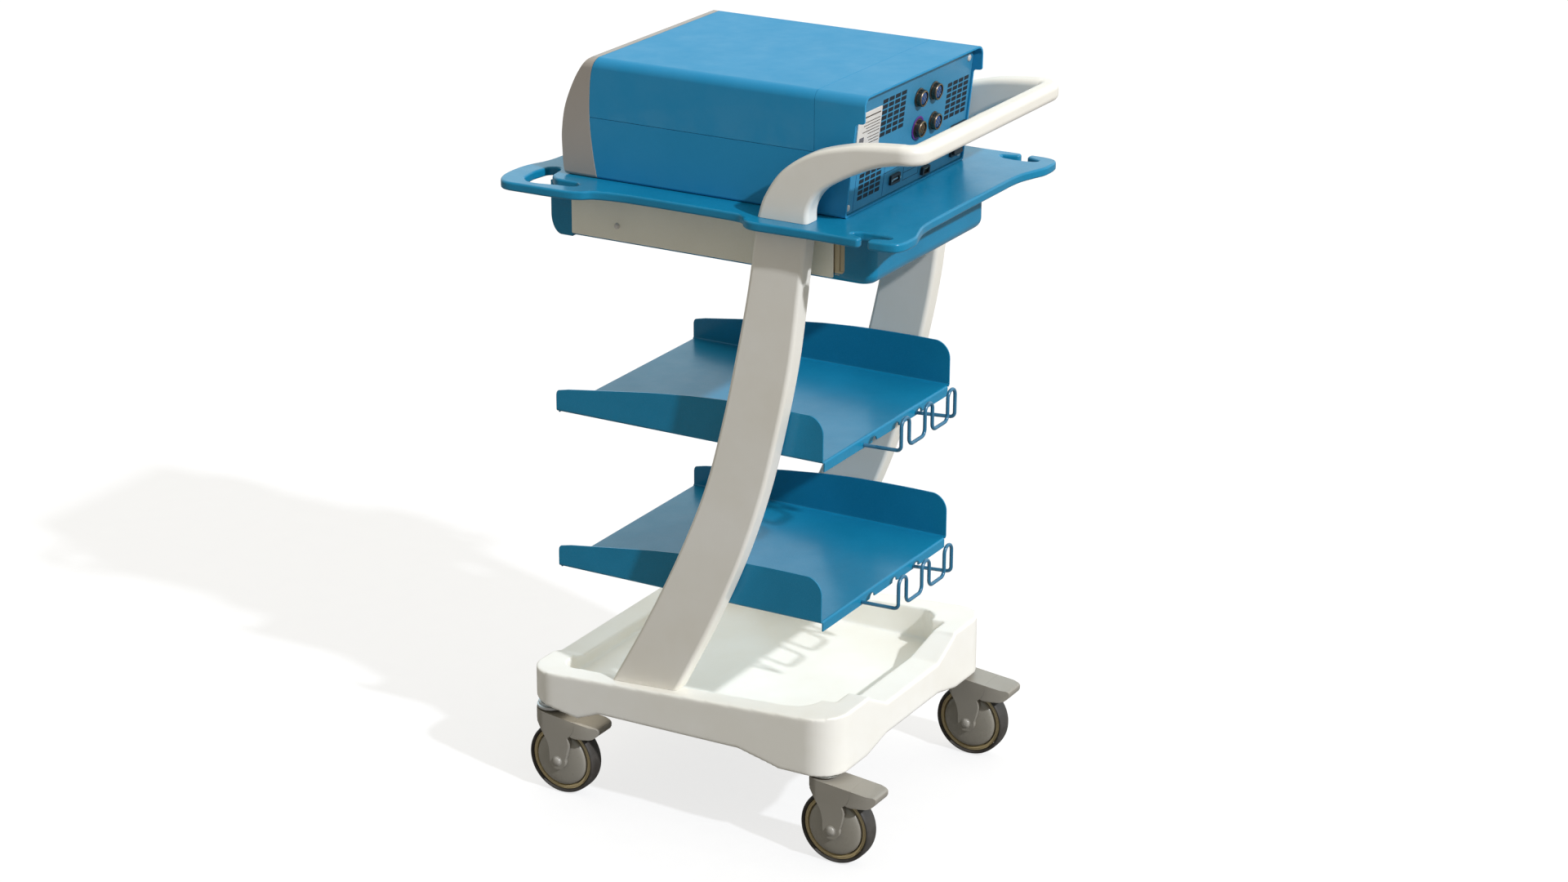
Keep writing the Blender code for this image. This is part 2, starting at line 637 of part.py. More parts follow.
# halves of turned profiles, (radius, distance from the wheel's mid plane)
BOLT_END = FORK_HALF + 0.4
AXLE_HALF = [(0, BOLT_END + 2.4), (4.2, BOLT_END + 2), (5.8, BOLT_END), (4, BOLT_END)]
HUB_HALF = [(4.45, 14.8), (8.5, 14.8), (24, 13.0), (38, 10.6), (44, 9.4)]
TYRE_HALF = [(44.5, 10.6), (47.6, WHEEL_W / 2), (WHEEL_R - 1, WHEEL_W / 2 - 3.2),
             (WHEEL_R, WHEEL_W / 2 - 8)]
# mounting profiles, (radius, z): the top differs between the ends of the cart
SEAT = {"front": [(0, 129.4), (17, 129.4), (17, 124.6), (19, 124.6)],
        "rear": [(0, 123.2), (19, 123.2)]}
CUP_AND_PIN = [(19, 120.4), (6, 120.4), (6, 108.6), (10, 108.6), (10, 104.4), (0, 104.4)]
# fork side view, (y, z): rear edge below the crown, then front edge from the boss up
FORK_REAR = [(38.4, 84.5), (39.0, 79.7), (37.6, 71)]
FORK_FRONT = [(8, 64), (1, 84), (-8.6, 97), (-14, 101.5), (-20.5, 103.5)]
BOSS_R = 12.2
# right half of the fork's plan, (x, y)
FORK_PLAN = [(24, 70), (24, -1)] + [
    (22 * math.cos(math.radians(i)), 20.5 * math.sin(math.radians(i))) for i in (-12, -38, -64, -90)]
# pedal side view, (y, z): rear end and underside, and the right half of its plan, (x, y)
PEDAL_END_Y = 84
PEDAL_UNDER = [(84, 102.6), (81.5, 98.4), (77, 94.6), (70, 92.6), (60, 91), (51, 90), (45, 90.2)]
PEDAL_PLAN = [(24, 0), (24, 66.5), (15.4, 90.5)]


def crown_z(y):
    """The top line of fork and pedal, which falls towards the rear."""
    return 120.0 - (y + 15.0) * (5.2 / 51.7)


def under_crown(outline):
    return [(y, min(z, crown_z(y))) for y, z in outline]


def both_faces(half):
    return half + [(radius, -height) for radius, height in reversed(half)]


def build_fork(tag, stem_x, stem_y):
    """A crown and two legs that narrow to a round boss."""
    def across(name, radius, half, y, z, segments):
        return rod(name, radius, (stem_x - half, stem_y + y, z), (stem_x + half, stem_y + y, z),
                   segments)

    def upright(name, radius, top):
        return rod(name, radius, (stem_x, stem_y, 90), (stem_x, stem_y, top), 16)

    hollow = arc(PIVOT_Y, PIVOT_Z, 24.0, 13, -58, 6)
    side = [(-20.5, crown_z(-20.5)), (hollow[0][0], crown_z(hollow[0][0]))] + hollow + FORK_REAR
    side += arc(TRAIL, WHEEL_R, BOSS_R, 16, -168, 6) + FORK_FRONT
    fork = plate(f"caster_fork_{tag}", [shifted(under_crown(side), stem_y)],
                 (stem_x - FORK_HALF, stem_x + FORK_HALF), ON_YZ, GREY)
    plan = plate("keep_plan", [shifted(mirrored(FORK_PLAN), stem_x, stem_y)], (0, 160), ON_XY)
    fork = combine(fork, [plan], "INTERSECT")
    slot = box("cut_slot", (stem_x - FORK_GAP / 2, stem_x + FORK_GAP / 2),
               (stem_y - 40, stem_y + 60), (20, 104))
    tongue = box("cut_tongue", (stem_x - 12.5, stem_x + 12.5), (stem_y + 17.5, stem_y + 60),
                 (100, 112.1))
    pin = across("cut_pin", 2.4, 20, PIVOT_Y, PIVOT_Z, 10)
    axle_hole = across("cut_axle", 4.35, 40, TRAIL, WHEEL_R, 12)
    kingpin = upright("cut_kingpin", 6.5, 130)
    seat = upright("cut_seat", 10.8, 109)
    fork = combine(fork, [slot, tongue])
    fork = combine(fork, [kingpin, seat])
    combine(fork, [pin, axle_hole])


def build_wheel(tag, stem_x, stem_y):
    """The axle bolt with a domed head at each end, the hub and the tyre."""
    place = move(stem_x, stem_y + TRAIL, WHEEL_R) @ turn(math.pi / 2, "Y")
    turned(f"axle_{tag}", both_faces(AXLE_HALF), 12, place, STEEL)
    turned(f"wheel_hub_{tag}", both_faces(HUB_HALF), 20, place, GREY, closed=True)
    turned(f"tyre_{tag}", both_faces(TYRE_HALF), 28, place, TYRE, closed=True)


def build_pedal(tag, stem_x, stem_y):
    """The brake pedal with its tongue and pivot pin."""
    inner = arc(PIVOT_Y, PIVOT_Z, 24.6, -45, 13, 5)
    side = inner + [(inner[-1][0], crown_z(inner[-1][0])), (80, crown_z(80)),
                    (PEDAL_END_Y, crown_z(PEDAL_END_Y) - 2.5)] + PEDAL_UNDER
    pedal = plate(f"brake_pedal_{tag}", [shifted(under_crown(side), stem_y)],
                  (stem_x - FORK_HALF, stem_x + FORK_HALF), ON_YZ, GREY)
    plan = plate("keep_plan", [shifted(mirrored(PEDAL_PLAN), stem_x, stem_y)], (60, 140), ON_XY)
    pedal = combine(pedal, [plan], "INTERSECT")
    clear = box("cut_clear", (stem_x - 16.2, stem_x + 16.2), (stem_y + 20, stem_y + 68),
                (60, 105.5))
    pedal = combine(pedal, [clear])
    tongue = arc(PIVOT_Y, 108.6, 2.9, 270, 90, 5) + [(54, 111.5), (54, 105.7)]
    tongue = plate("join_tongue", [shifted(tongue, stem_y)], (stem_x - 12, stem_x + 12), ON_YZ)
    pin = rod("join_pin", 2.0, (stem_x - 19.5, stem_y + PIVOT_Y, PIVOT_Z),
              (stem_x + 19.5, stem_y + PIVOT_Y, PIVOT_Z), 10)
    pedal = combine(pedal, [tongue], "UNION")
    combine(pedal, [pin], "UNION")


CASTERS = [(end, f"{end}_{side}", sign * STEM_X, stem_y)
           for end, stem_y in STEM_Y.items() for side, sign in SIDES]
for end, tag, stem_x, stem_y in CASTERS:
    # bearing cup and kingpin, fixed to the base
    turned(f"caster_mount_{tag}", SEAT[end] + CUP_AND_PIN, 16, move(stem_x, stem_y, 0), STEEL)
    build_fork(tag, stem_x, stem_y)
    build_wheel(tag, stem_x, stem_y)
    build_pedal(tag, stem_x, stem_y)

# ---------------------------------------------------------------- console on the tray
DEV_X = 162.0
DEV_Z0, DEV_Z1 = 863.6, 1021.5
SPLIT_Z, SPLIT_Y = 943.5, 169.0        # where the cover meets the chassis
SPLIT_GAP = 0.2
SHELL_WALL = 2.6
# joint between bezel and shell, and the bezel's front, both from the bottom up (y, z)
SEAM = smooth([(-150.0, DEV_Z0), (-154.8, 890), (-158.5, 918), (-160.5, 944), (-160.1, 973),
               (-157.8, 1000), (-152.0, DEV_Z1)])
NOSE = [(-195, DEV_Z0), (-200, 870), (-202.5, 905), (-202, 925), (-198.2, 950), (-191, 972),
        (-181, 994), (-171.5, 1009.5), (-165.5, 1017.8), (-160.5, DEV_Z1)]
BEZEL_HOLLOW = [(-190, 870), (-196, 900), (-194, 930), (-184, 962), (-168, 996), (-140, 1014),
                (-130, 1014), (-130, 870)]

DISPLAY_PLACE = move(-25, -197.6, 932) @ turn(math.radians(-9))
KNOB_AT = (105, -201.4, 940)
BUTTON_AT = (105, -197, 905)
# (radius, height out of the bezel)
KNOB_PROFILE = [(0, 12), (11.5, 12), (14, 10), (14.3, 0.2), (3, 0.2), (3, -8), (0, -8)]
BUTTON_PROFILE = [(0, 8.5), (6, 8.5), (7, 7.5), (7, 0), (0, 0)]

PANEL_SLOPE = 0.11                     # the rear panel leans back towards its top
PANEL_LEAN = math.atan(PANEL_SLOPE)
PANEL_Y = 211.0                        # rear panel face at the bottom of the console
PANEL_EDGE = SHELL_WALL + 0.6          # from the outside of the shell to the panel's edge
# shallow fields in the panel: x from, x to, and the same up the panel
VENTS = [(23, 89, 84, 134), (-154, -92, 66, 116), (70, 131, 12, 62)]
VENT_DEPTH = 0.9
SOCKETS = [(-12, 982), (-53, 982), (-18, 940), (-61, 940)]   # (x, z)
SOCKET_PROFILE = [(0, 3.0), (8.0, 3.0), (8.6, 9.0), (10.6, 9.0), (11.0, 8.0), (11.0, 3.4),
                  (12.4, 3.0), (12.6, 0), (0, 0)]            # (radius, height)
SWITCH_AT = (-137, 885)                                      # (x, z)
# name, (x, z), size across, up and out, then the same of its recess
FITTINGS = [("power_inlet", (-137, 909), (40, 22, 5), (26, 13, 3.6)),
            ("data_port", (33, 885), (26, 13, 3), (18, 6.5, 2.2)),
            ("network_port", (-52, 876), (20, 11, 4), (14, 7, 3)),
            ("switch_frame", SWITCH_AT, (30, 19, 3.6), (24.6, 13.4, 3.0))]
ROCKER = [(-6.0, 1.3), (6.0, 1.3), (6.0, 4.9), (0, 3.9), (-6.0, 4.9)]  # (down, out)
ROCKER_HALF = 11.8


def panel_y(z):
    return PANEL_Y + PANEL_SLOPE * (z - DEV_Z0)


def facing(x, z):
    """A place just off the panel's face, local +Z pointing out of the panel, +Y down it."""
    return move(x, panel_y(z) + 0.3, z) @ turn(-PANEL_LEAN) @ turn(-math.pi / 2)


ROCKER_AXIS = facing(*SWITCH_AT) @ move(0, 0, 2.6)


def build_bezel():
    """The hollow front moulding with its display and controls."""
    joint = shifted(SEAM, -0.2)
    bezel = plate("console_bezel", [NOSE + joint[::-1]], (-DEV_X - 0.8, DEV_X + 0.8), ON_YZ, TAUPE)
    bezel = bevelled(bezel, width=4.0, angle=60)
    half = DEV_X - 4
    bezel = combine(bezel, [plate("cut_bezel", [BEZEL_HOLLOW], (-half, half), ON_YZ)])
    pocket = placed(box("cut_screen", (-92, 92), (-14, 1.2), (-36, 36)), DISPLAY_PLACE)
    # knob and button beside the display, each with a round hole through the moulding
    knob_place = move(*KNOB_AT) @ turn(math.radians(82))
    button_place = move(*BUTTON_AT) @ turn(math.radians(90))
    shafts = [placed(rod("cut_shaft", radius, (0, 0, -12), (0, 0, 15), 14), place)
              for place, radius in ((knob_place, 3.5), (button_place, 7.5))]
    combine(bezel, [pocket] + shafts)
    turned("control_knob", KNOB_PROFILE, 18, knob_place, GREY)
    turned("start_button", BUTTON_PROFILE, 14, button_place, TAUPE)
    placed(box("display_glass", (-91.4, 91.4), (-2.6, 0.8), (-35.4, 35.4), GLASS), DISPLAY_PLACE)


def shell_section(inset=0.0):
    half, low, high = DEV_X - inset, DEV_Z0 + inset, DEV_Z1 - inset
    return filleted(mirrored([(half, low, 3.5), (half, high, 12 - inset * 0.7)]))


def shell_part(name, region):
    """The part of the console's shell inside a side-view region of (y, z)."""
    outer = plate(name, [shell_section()], (-175, 240), ON_XZ, DEVICE_BLUE)
    hollow = plate("cut_inner", [shell_section(SHELL_WALL)], (-200, 260), ON_XZ)
    keep = plate("keep", [region], (-200, 200), ON_YZ)
    combine(combine(outer, [hollow]), [keep], "INTERSECT")


def build_chassis():
    """The lower half and the rear band with its overhanging hood."""
    split = SPLIT_Z - SPLIT_GAP
    front = [point for point in SEAM if point[1] < SPLIT_Z - 2]
    shell_part("console_chassis", front + [
        (-160.3, split), (SPLIT_Y, split), (SPLIT_Y, 1040), (240, 1040), (238.5, 988.0),
        (panel_y(988) + 1.5, 986.5), (panel_y(DEV_Z0) + 1.5, DEV_Z0 - 5), (-149, DEV_Z0 - 5)])


def build_cover():
    split, rear = SPLIT_Z + SPLIT_GAP, SPLIT_Y - 0.4
    front = [point for point in SEAM if point[1] > SPLIT_Z + 2]
    shell_part("console_cover", [(-160.3, split)] + front + [
        (-151.5, 1040), (rear, 1040), (rear, split)])


def build_rear_panel():
    """The sloping sheet with three vents."""
    height = (DEV_Z1 - DEV_Z0 - 2 * PANEL_EDGE) / math.cos(PANEL_LEAN)
    foot_z = DEV_Z0 + PANEL_EDGE
    place = move(0, panel_y(foot_z), foot_z) @ turn(-PANEL_LEAN)
    half = DEV_X - PANEL_EDGE
    outline = filleted(mirrored([(half, 0, 3), (half, height, 10.5)]), 3)
    panel = plate("console_rear_panel", [outline], (-2.0, 0.0), ON_XZ, DEVICE_BLUE)
    panel = placed(panel, place)
    combine(panel, [placed(box("cut_vent", (x0, x1), (-VENT_DEPTH, 5), (z0, z1)), place)
                    for x0, x1, z0, z1 in VENTS])


def build_fitting(name, point, size, recess):
    """A rounded block on the panel with a rectangular recess."""
    width, height, depth = size
    outline = filleted(mirrored([(width / 2, -height / 2, 2), (width / 2, height / 2, 2)]), 2)
    body = placed(plate(name, [outline], (0, depth), ON_XY, BLACK), facing(*point))
    across, up, deep = recess
    hole = box("cut_hole", (-across / 2, across / 2), (-up / 2, up / 2), (depth - deep, depth + 5))
    combine(body, [placed(hole, facing(*point))])


def build_rocker():
    """A shallow V across its pivot, resting with its upper half pressed in."""
    rocker = plate("power_switch", [ROCKER], (-ROCKER_HALF, ROCKER_HALF), ON_YZ, BLACK)
    placed(rocker, ROCKER_AXIS @ turn(math.radians(6)) @ move(0, 0, -1.0))


build_bezel()
build_chassis()
build_cover()
build_rear_panel()
for number, point in enumerate(SOCKETS, 1):
    turned(f"signal_socket_{number}", SOCKET_PROFILE, 14, facing(*point), BRONZE)
for fitting in FITTINGS:
    build_fitting(*fitting)
build_rocker()

# ---------------------------------------------------------------- shading
for part in cart.objects:
    part.data.shade_smooth()
    part.data.set_sharp_from_angle(angle=math.radians(35))


# ---------------------------------------------------------------- joint axes and the final place
def hang(names, point):
    """Puts the origin of each named part on its joint's axis, leaving the shape where it is."""
    pivot = Vector(point) * MILLI
    for name in names:
        part = cart.objects[name]
        part.data.transform(Matrix.Translation(-pivot))
        part.location = pivot


for _, tag, stem_x, stem_y in CASTERS:
    hang([f"caster_fork_{tag}"], (stem_x, stem_y, 112.0))
    hang([f"axle_{tag}", f"wheel_hub_{tag}", f"tyre_{tag}"], (stem_x, stem_y + TRAIL, WHEEL_R))
    hang([f"brake_pedal_{tag}"], (stem_x, stem_y + PIVOT_Y, PIVOT_Z))
hang(["drawer_front", "drawer_box", "slide_inner_right", "slide_inner_left"],
     (0, HOUSE_Y0, (HOUSE_Z0 + HOUSE_Z1) / 2))
hang(["control_knob"], KNOB_AT)
hang(["start_button"], BUTTON_AT)
hang(["power_switch"], ROCKER_AXIS.translation / MILLI)
for part in cart.objects:
    part.location.y -= ORIGIN_Y * MILLI
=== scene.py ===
"""Looks of a hospital crash cart: a castored ivory base, two raked posts, two shelves with hook
racks, a drawer under a blue top tray, a push handle and a console with a socketed rear panel.

Lengths are in millimetres, scaled by MM. The floor is z = 0, the front faces -Y and the right
side is +X. Pieces are modelled round the base's middle, then moved to the frame's origin.
"""
from math import acos, atan, atan2, cos, dist, pi, radians, sin, sqrt, tan, tau

import bmesh
import bpy
from mathutils import Matrix, Vector


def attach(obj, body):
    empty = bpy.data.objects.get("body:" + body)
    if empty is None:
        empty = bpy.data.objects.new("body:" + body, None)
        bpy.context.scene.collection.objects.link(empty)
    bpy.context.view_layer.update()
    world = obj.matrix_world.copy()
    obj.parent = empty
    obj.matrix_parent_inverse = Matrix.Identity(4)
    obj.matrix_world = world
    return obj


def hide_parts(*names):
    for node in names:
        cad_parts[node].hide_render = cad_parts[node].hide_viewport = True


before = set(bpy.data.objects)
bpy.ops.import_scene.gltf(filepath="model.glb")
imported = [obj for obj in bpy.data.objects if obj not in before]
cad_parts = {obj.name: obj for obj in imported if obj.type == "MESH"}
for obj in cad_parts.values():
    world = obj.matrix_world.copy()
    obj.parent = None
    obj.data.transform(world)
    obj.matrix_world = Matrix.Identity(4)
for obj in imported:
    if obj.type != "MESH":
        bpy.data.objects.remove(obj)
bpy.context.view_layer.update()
MM = 0.001
SCENE = bpy.context.scene
ROOT = "cart"
SIDES = (("right", 1), ("left", -1))

# ------------------------------------------------------------------ driving dimensions
ORIGIN_Y = 35.0                         # frame's origin behind the base's middle
TO_ORIGIN = Matrix.Translation((0, -ORIGIN_Y * MM, 0))
POST_IN, POST_OUT = 178.0, 208.0        # a post's faces, from the middle
POST_X, POST_WIDTH = (POST_IN + POST_OUT) / 2, POST_OUT - POST_IN
TRAY_BOTTOM, TRAY_TOP = 851.3, 863.3
SHELF_Y0, SHELF_Y1 = -208.6, 194.0      # front and rear of the shelves
SHELF_Z = {"upper": 542.0, "lower": 321.5}


# ------------------------------------------------------------------ shader nodes
class Nodes:
    """Adds nodes to one shader tree."""

    def __init__(self, tree):
        self.tree = tree

    def feed(self, socket, value):
        """Links an output to the socket, or sets the socket's own value."""
        if isinstance(value, bpy.types.NodeSocket):
            self.tree.links.new(value, socket)
        else:
            socket.default_value = value

    def add(self, kind, inputs=None, **settings):
        node = self.tree.nodes.new("ShaderNode" + kind)
        for key, value in settings.items():
            setattr(node, key, value)
        for key, value in (inputs or {}).items():
            self.feed(node.inputs[key], value)
        return node

    def mix(self, factor, a, b):
        """Blends two colours, each an RGB tuple or a socket."""
        a, b = [(*c, 1.0) if isinstance(c, tuple) else c for c in (a, b)]
        inputs = {"Factor": factor, "A": a, "B": b}
        return self.add("Mix", inputs, data_type="RGBA").outputs["Result"]

    def ramp(self, value, over, to=(0.0, 1.0)):
        """Maps the range over onto the range to, clamped."""
        return self.add("MapRange", {
            "From Min": over[0], "From Max": over[1], "To Min": to[0], "To Max": to[1],
            "Value": value}).outputs["Result"]

    def multiply(self, a, b):
        return self.add("Math", {0: a, 1: b}, operation="MULTIPLY").outputs[0]


class Material(Nodes):
    """A Principled material whose textures lie in object space."""

    def __init__(self, name):
        self.material = bpy.data.materials.new(name)
        self.material.use_nodes = True
        super().__init__(self.material.node_tree)
        self.coords = self.add("TexCoord").outputs["Object"]

    def pointiness(self):
        return self.add("NewGeometry").outputs["Pointiness"]

    def stretched(self, scale):
        return self.add("Mapping", {"Scale": scale, "Vector": self.coords}).outputs["Vector"]

    def noise(self, scale, detail=3.0, roughness=0.5, coords=None):
        return self.add("TexNoise", {
            "Scale": scale, "Detail": detail, "Roughness": roughness,
            "Vector": coords or self.coords}).outputs["Fac"]

    def bump(self, height, strength, distance, under=None):
        """Relief, laid over the normal under where one is given."""
        inputs = {"Strength": strength, "Distance": distance, "Height": height}
        if under:
            inputs["Normal"] = under
        return self.add("Bump", inputs).outputs["Normal"]

    def surface(self, inputs):
        """Feeds the Principled shader and returns the finished material."""
        shader = self.tree.nodes["Principled BSDF"]
        for key, value in inputs.items():
            self.feed(shader.inputs[key], value)
        return self.material


def tinted(colour, factor, lift=0.0):
    return tuple(min(1, c * factor + lift) for c in colour)


# ------------------------------------------------------------------ kinds of material
def painted(name, colour, rough, peel=0.10, peel_scale=900.0, wear=0.35, edge=(0.20, 0.42, 0.56),
            coat=0.15, speckle=0.05, drift=0.06, sheen=0.5):
    """Powder coat: fine orange peel, pale speckle, faint colour drift and worn, paler edges."""
    m = Material(name)
    pointiness = m.pointiness()
    patches = m.noise(scale=9.0, detail=4.0, roughness=0.55)
    fine = m.noise(scale=peel_scale, detail=2.0, roughness=0.55)
    grain = m.noise(scale=peel_scale * 1.7, detail=1.0)
    smudge = m.noise(scale=26.0, roughness=0.55)
    base = m.mix(m.ramp(patches, over=(0.35, 0.65)),
                 tinted(colour, 1 - drift), tinted(colour, 1 + drift, lift=0.002))
    base = m.mix(m.ramp(grain, over=(0.45, 0.75), to=(0, speckle * 4)),
                 base, tinted(colour, 1.35, lift=0.02))
    worn = m.multiply(m.ramp(pointiness, over=(0.53, 0.60)),
                      m.ramp(smudge, over=(0.38, 0.62), to=(0.2, 1.0)))
    return m.surface({
        "Base Color": m.mix(m.multiply(worn, wear), base, edge),
        "Roughness": m.ramp(smudge, over=(0.3, 0.7), to=(rough - 0.05, rough + 0.07)),
        "Coat Weight": coat,
        "Coat Roughness": 0.22,
        "Specular IOR Level": sheen,
        "Normal": m.bump(fine, strength=peel, distance=0.0006)})


def moulded(name, colour, rough, grain=0.12, grain_scale=1400.0, coat=0.0, wear=0.12):
    """Moulded plastic: fine grain, slight warm drift, darker edges and uneven gloss."""
    m = Material(name)
    pointiness = m.pointiness()
    patches = m.noise(scale=6.0, detail=4.0, roughness=0.6)
    fine = m.noise(scale=grain_scale, detail=2.0, roughness=0.6)
    smudge = m.noise(scale=22.0, detail=6.0, roughness=0.62)
    warm = tuple(c * w for c, w in zip(colour, (1.0, 0.985, 0.95)))
    base = m.mix(m.ramp(patches, over=(0.35, 0.65)), tinted(warm, 0.965), tinted(colour, 1.02))
    worn = m.multiply(m.ramp(pointiness, over=(0.52, 0.60)), m.ramp(smudge, over=(0.42, 0.6)))
    return m.surface({
        "Base Color": m.mix(m.multiply(worn, wear), base, tinted(colour, 0.72)),
        "Roughness": m.ramp(smudge, over=(0.3, 0.7), to=(rough - 0.06, rough + 0.06)),
        "Coat Weight": coat,
        "Normal": m.bump(fine, strength=grain, distance=0.0003)})


def metallic(name, colour, rough):
    """Plated or turned metal: micro scratches and darker, duller patches."""
    m = Material(name)
    scratches = m.noise(scale=900.0, roughness=0.6, coords=m.stretched((1, 1, 1)))
    blotch = m.noise(scale=60.0, detail=4.0, roughness=0.6)
    return m.surface({
        "Base Color": m.mix(m.ramp(blotch, over=(0.4, 0.7), to=(0, 0.5)),
                            colour, tinted(colour, 0.6)),
        "Metallic": 1.0,
        "Roughness": m.ramp(scratches, over=(0.3, 0.7), to=(rough - 0.08, rough + 0.1)),
        "Normal": m.bump(scratches, strength=0.08, distance=0.0002)})


def rubber(name, colour):
    """Matt tyre compound with pale dust and darker scuffs."""
    m = Material(name)
    scuffs = m.noise(scale=160.0, roughness=0.6, coords=m.stretched((9, 1, 1)))
    dust = m.noise(scale=70.0, detail=6.0, roughness=0.65)
    base = m.mix(m.ramp(dust, over=(0.42, 0.72), to=(0, 0.45)),
                 colour, tinted(colour, 1.9, lift=0.02))
    return m.surface({
        "Base Color": m.mix(m.ramp(scuffs, over=(0.55, 0.75), to=(0, 0.3)),
                            base, tinted(colour, 0.6)),
        "Roughness": m.ramp(dust, over=(0.3, 0.7), to=(0.5, 0.78)),
        "Normal": m.bump(dust, strength=0.1, distance=0.0006,
                         under=m.bump(scuffs, strength=0.12, distance=0.0006))})


def glossy(name, colour, rough):
    """Hard dark window: smudges in its gloss and faint hairline relief."""
    m = Material(name)
    smudge = m.noise(scale=38.0, detail=6.0, roughness=0.6)
    hair = m.noise(scale=420.0, detail=2.0)
    return m.surface({
        "Base Color": m.mix(m.ramp(smudge, over=(0.35, 0.7)),
                            colour, tinted(colour, 1.6, lift=0.003)),
        "Roughness": m.ramp(smudge, over=(0.4, 0.7), to=(rough, rough + 0.16)),
        "Coat Weight": 0.5,
        "Normal": m.bump(hair, strength=0.015, distance=0.0003)})


BLUE = painted("blue_powder_coat", colour=(0.004, 0.205, 0.372), rough=0.36, peel=0.06,
               peel_scale=420.0, coat=0.55, sheen=0.1)
WIRE = painted("blue_coated_wire", colour=(0.010, 0.130, 0.245), rough=0.28, peel=0.06,
               wear=0.3, coat=0.4)
CONSOLE_BLUE = painted("console_blue", colour=(0.018, 0.258, 0.490), rough=0.44, peel=0.03,
                       peel_scale=600.0, wear=0.2, coat=0.0, speckle=0.02, drift=0.012,
                       sheen=0.2)
PANEL = painted("rear_panel_blue", colour=(0.034, 0.215, 0.37), rough=0.40, peel=0.08,
                peel_scale=420.0, wear=0.2, sheen=0.3)
IVORY = moulded("ivory_plastic", colour=(0.84, 0.815, 0.75), rough=0.36, wear=0.05)
BASE = moulded("ivory_base_plastic", colour=(0.88, 0.865, 0.81), rough=0.34, wear=0.03)
BEIGE = painted("beige_paint", colour=(0.90, 0.87, 0.73), rough=0.36, peel=0.05,
                peel_scale=600.0, wear=0.2, edge=(0.8, 0.78, 0.7), drift=0.03)
TAN = moulded("tan_drawer_plastic", colour=(0.56, 0.47, 0.30), rough=0.42)
TAUPE = moulded("taupe_plastic", colour=(0.385, 0.345, 0.305), rough=0.42, wear=0.0)
GREY = moulded("caster_nylon", colour=(0.300, 0.280, 0.240), rough=0.40, grain=0.25,
               grain_scale=520.0, coat=0.10, wear=0.05)
HUB = moulded("hub_nylon", colour=(0.315, 0.295, 0.250), rough=0.27, grain=0.08,
              grain_scale=520.0, coat=0.25, wear=0.03)
RING = moulded("cream_wheel_ring", colour=(0.50, 0.40, 0.21), rough=0.26, coat=0.5)
TYRE = rubber("tyre_rubber", colour=(0.040, 0.034, 0.028))
STEEL = metallic("zinc_steel", colour=(0.62, 0.61, 0.58), rough=0.34)
CAPS = moulded("axle_cap", colour=(0.40, 0.38, 0.34), rough=0.30, grain=0.03, coat=0.3)
SCREW = moulded("plated_screw", colour=(0.60, 0.58, 0.55), rough=0.30, grain=0.03, coat=0.4)
BARREL = metallic("socket_barrel", colour=(0.20, 0.15, 0.11), rough=0.34)
BRASS = metallic("socket_brass", colour=(0.50, 0.32, 0.14), rough=0.3)
BLACK = moulded("black_plastic", colour=(0.018, 0.018, 0.02), rough=0.42)
# near black: painted shade on the sheets behind the vents, and the colour of the panel's dark
# scribed lines
DARK = moulded("vent_shade_and_line_colour", colour=(0.006, 0.010, 0.016), rough=0.7)
SOCKET_BLUE = moulded("socket_insert_blue", colour=(0.010, 0.060, 0.20), rough=0.35)
PURPLE = moulded("socket_ring_purple", colour=(0.10, 0.02, 0.22), rough=0.4)
LABEL = moulded("label_film", colour=(0.72, 0.68, 0.64), rough=0.45, grain=0.04)
INK = moulded("label_ink", colour=(0.16, 0.15, 0.16), rough=0.5)
GLASS = glossy("display_glass", colour=(0.008, 0.011, 0.016), rough=0.08)

# ------------------------------------------------------------------ modelling helpers
# drawing planes: an outline's two columns run along the named axes
YZ = Matrix(((0, 0, 1, 0), (1, 0, 0, 0), (0, 1, 0, 0), (0, 0, 0, 1)))
XZ = Matrix(((1, 0, 0, 0), (0, 0, -1, 0), (0, 1, 0, 0), (0, 0, 0, 1)))
XY = Matrix.Identity(4)


def shift(x, y, z):
    return Matrix.Translation(Vector((x, y, z)) * MM)


def turn(angle, axis):
    return Matrix.Rotation(angle, 4, axis)


def span(side, a, b):
    """The x range between a and b on one side, low end first."""
    return sorted((side * a, side * b))


def new_object(name, data, *materials):
    obj = bpy.data.objects.new(name, data)
    SCENE.collection.objects.link(obj)
    for material in materials:
        obj.data.materials.append(material)
    return obj


def from_bmesh(name, bm, *materials):
    mesh = bpy.data.meshes.new(name)
    bm.to_mesh(mesh)
    bm.free()
    return new_object(name, mesh, *materials)


def face_outward(bm):
    bmesh.ops.recalc_face_normals(bm, faces=bm.faces)
    if bm.calc_volume(signed=True) < 0:
        bmesh.ops.reverse_faces(bm, faces=bm.faces)


def tidy(mesh):
    bm = bmesh.new()
    bm.from_mesh(mesh)
    bmesh.ops.remove_doubles(bm, verts=bm.verts, dist=1e-6)
    bmesh.ops.dissolve_degenerate(bm, dist=1e-7, edges=bm.edges)
    face_outward(bm)
    bm.to_mesh(mesh)
    bm.free()
    mesh.update()


def smooth(mesh, angle):
    """Smooth shading, with edges sharper than angle (degrees) kept crisp."""
    mesh.shade_smooth()
    mesh.set_sharp_from_angle(angle=radians(angle))


def evaluated(obj):
    """The object's mesh after its modifiers, in world space."""
    bpy.context.view_layer.update()
    graph = bpy.context.evaluated_depsgraph_get()
    mesh = bpy.data.meshes.new_from_object(obj.evaluated_get(graph))
    mesh.transform(obj.matrix_world)
    return mesh


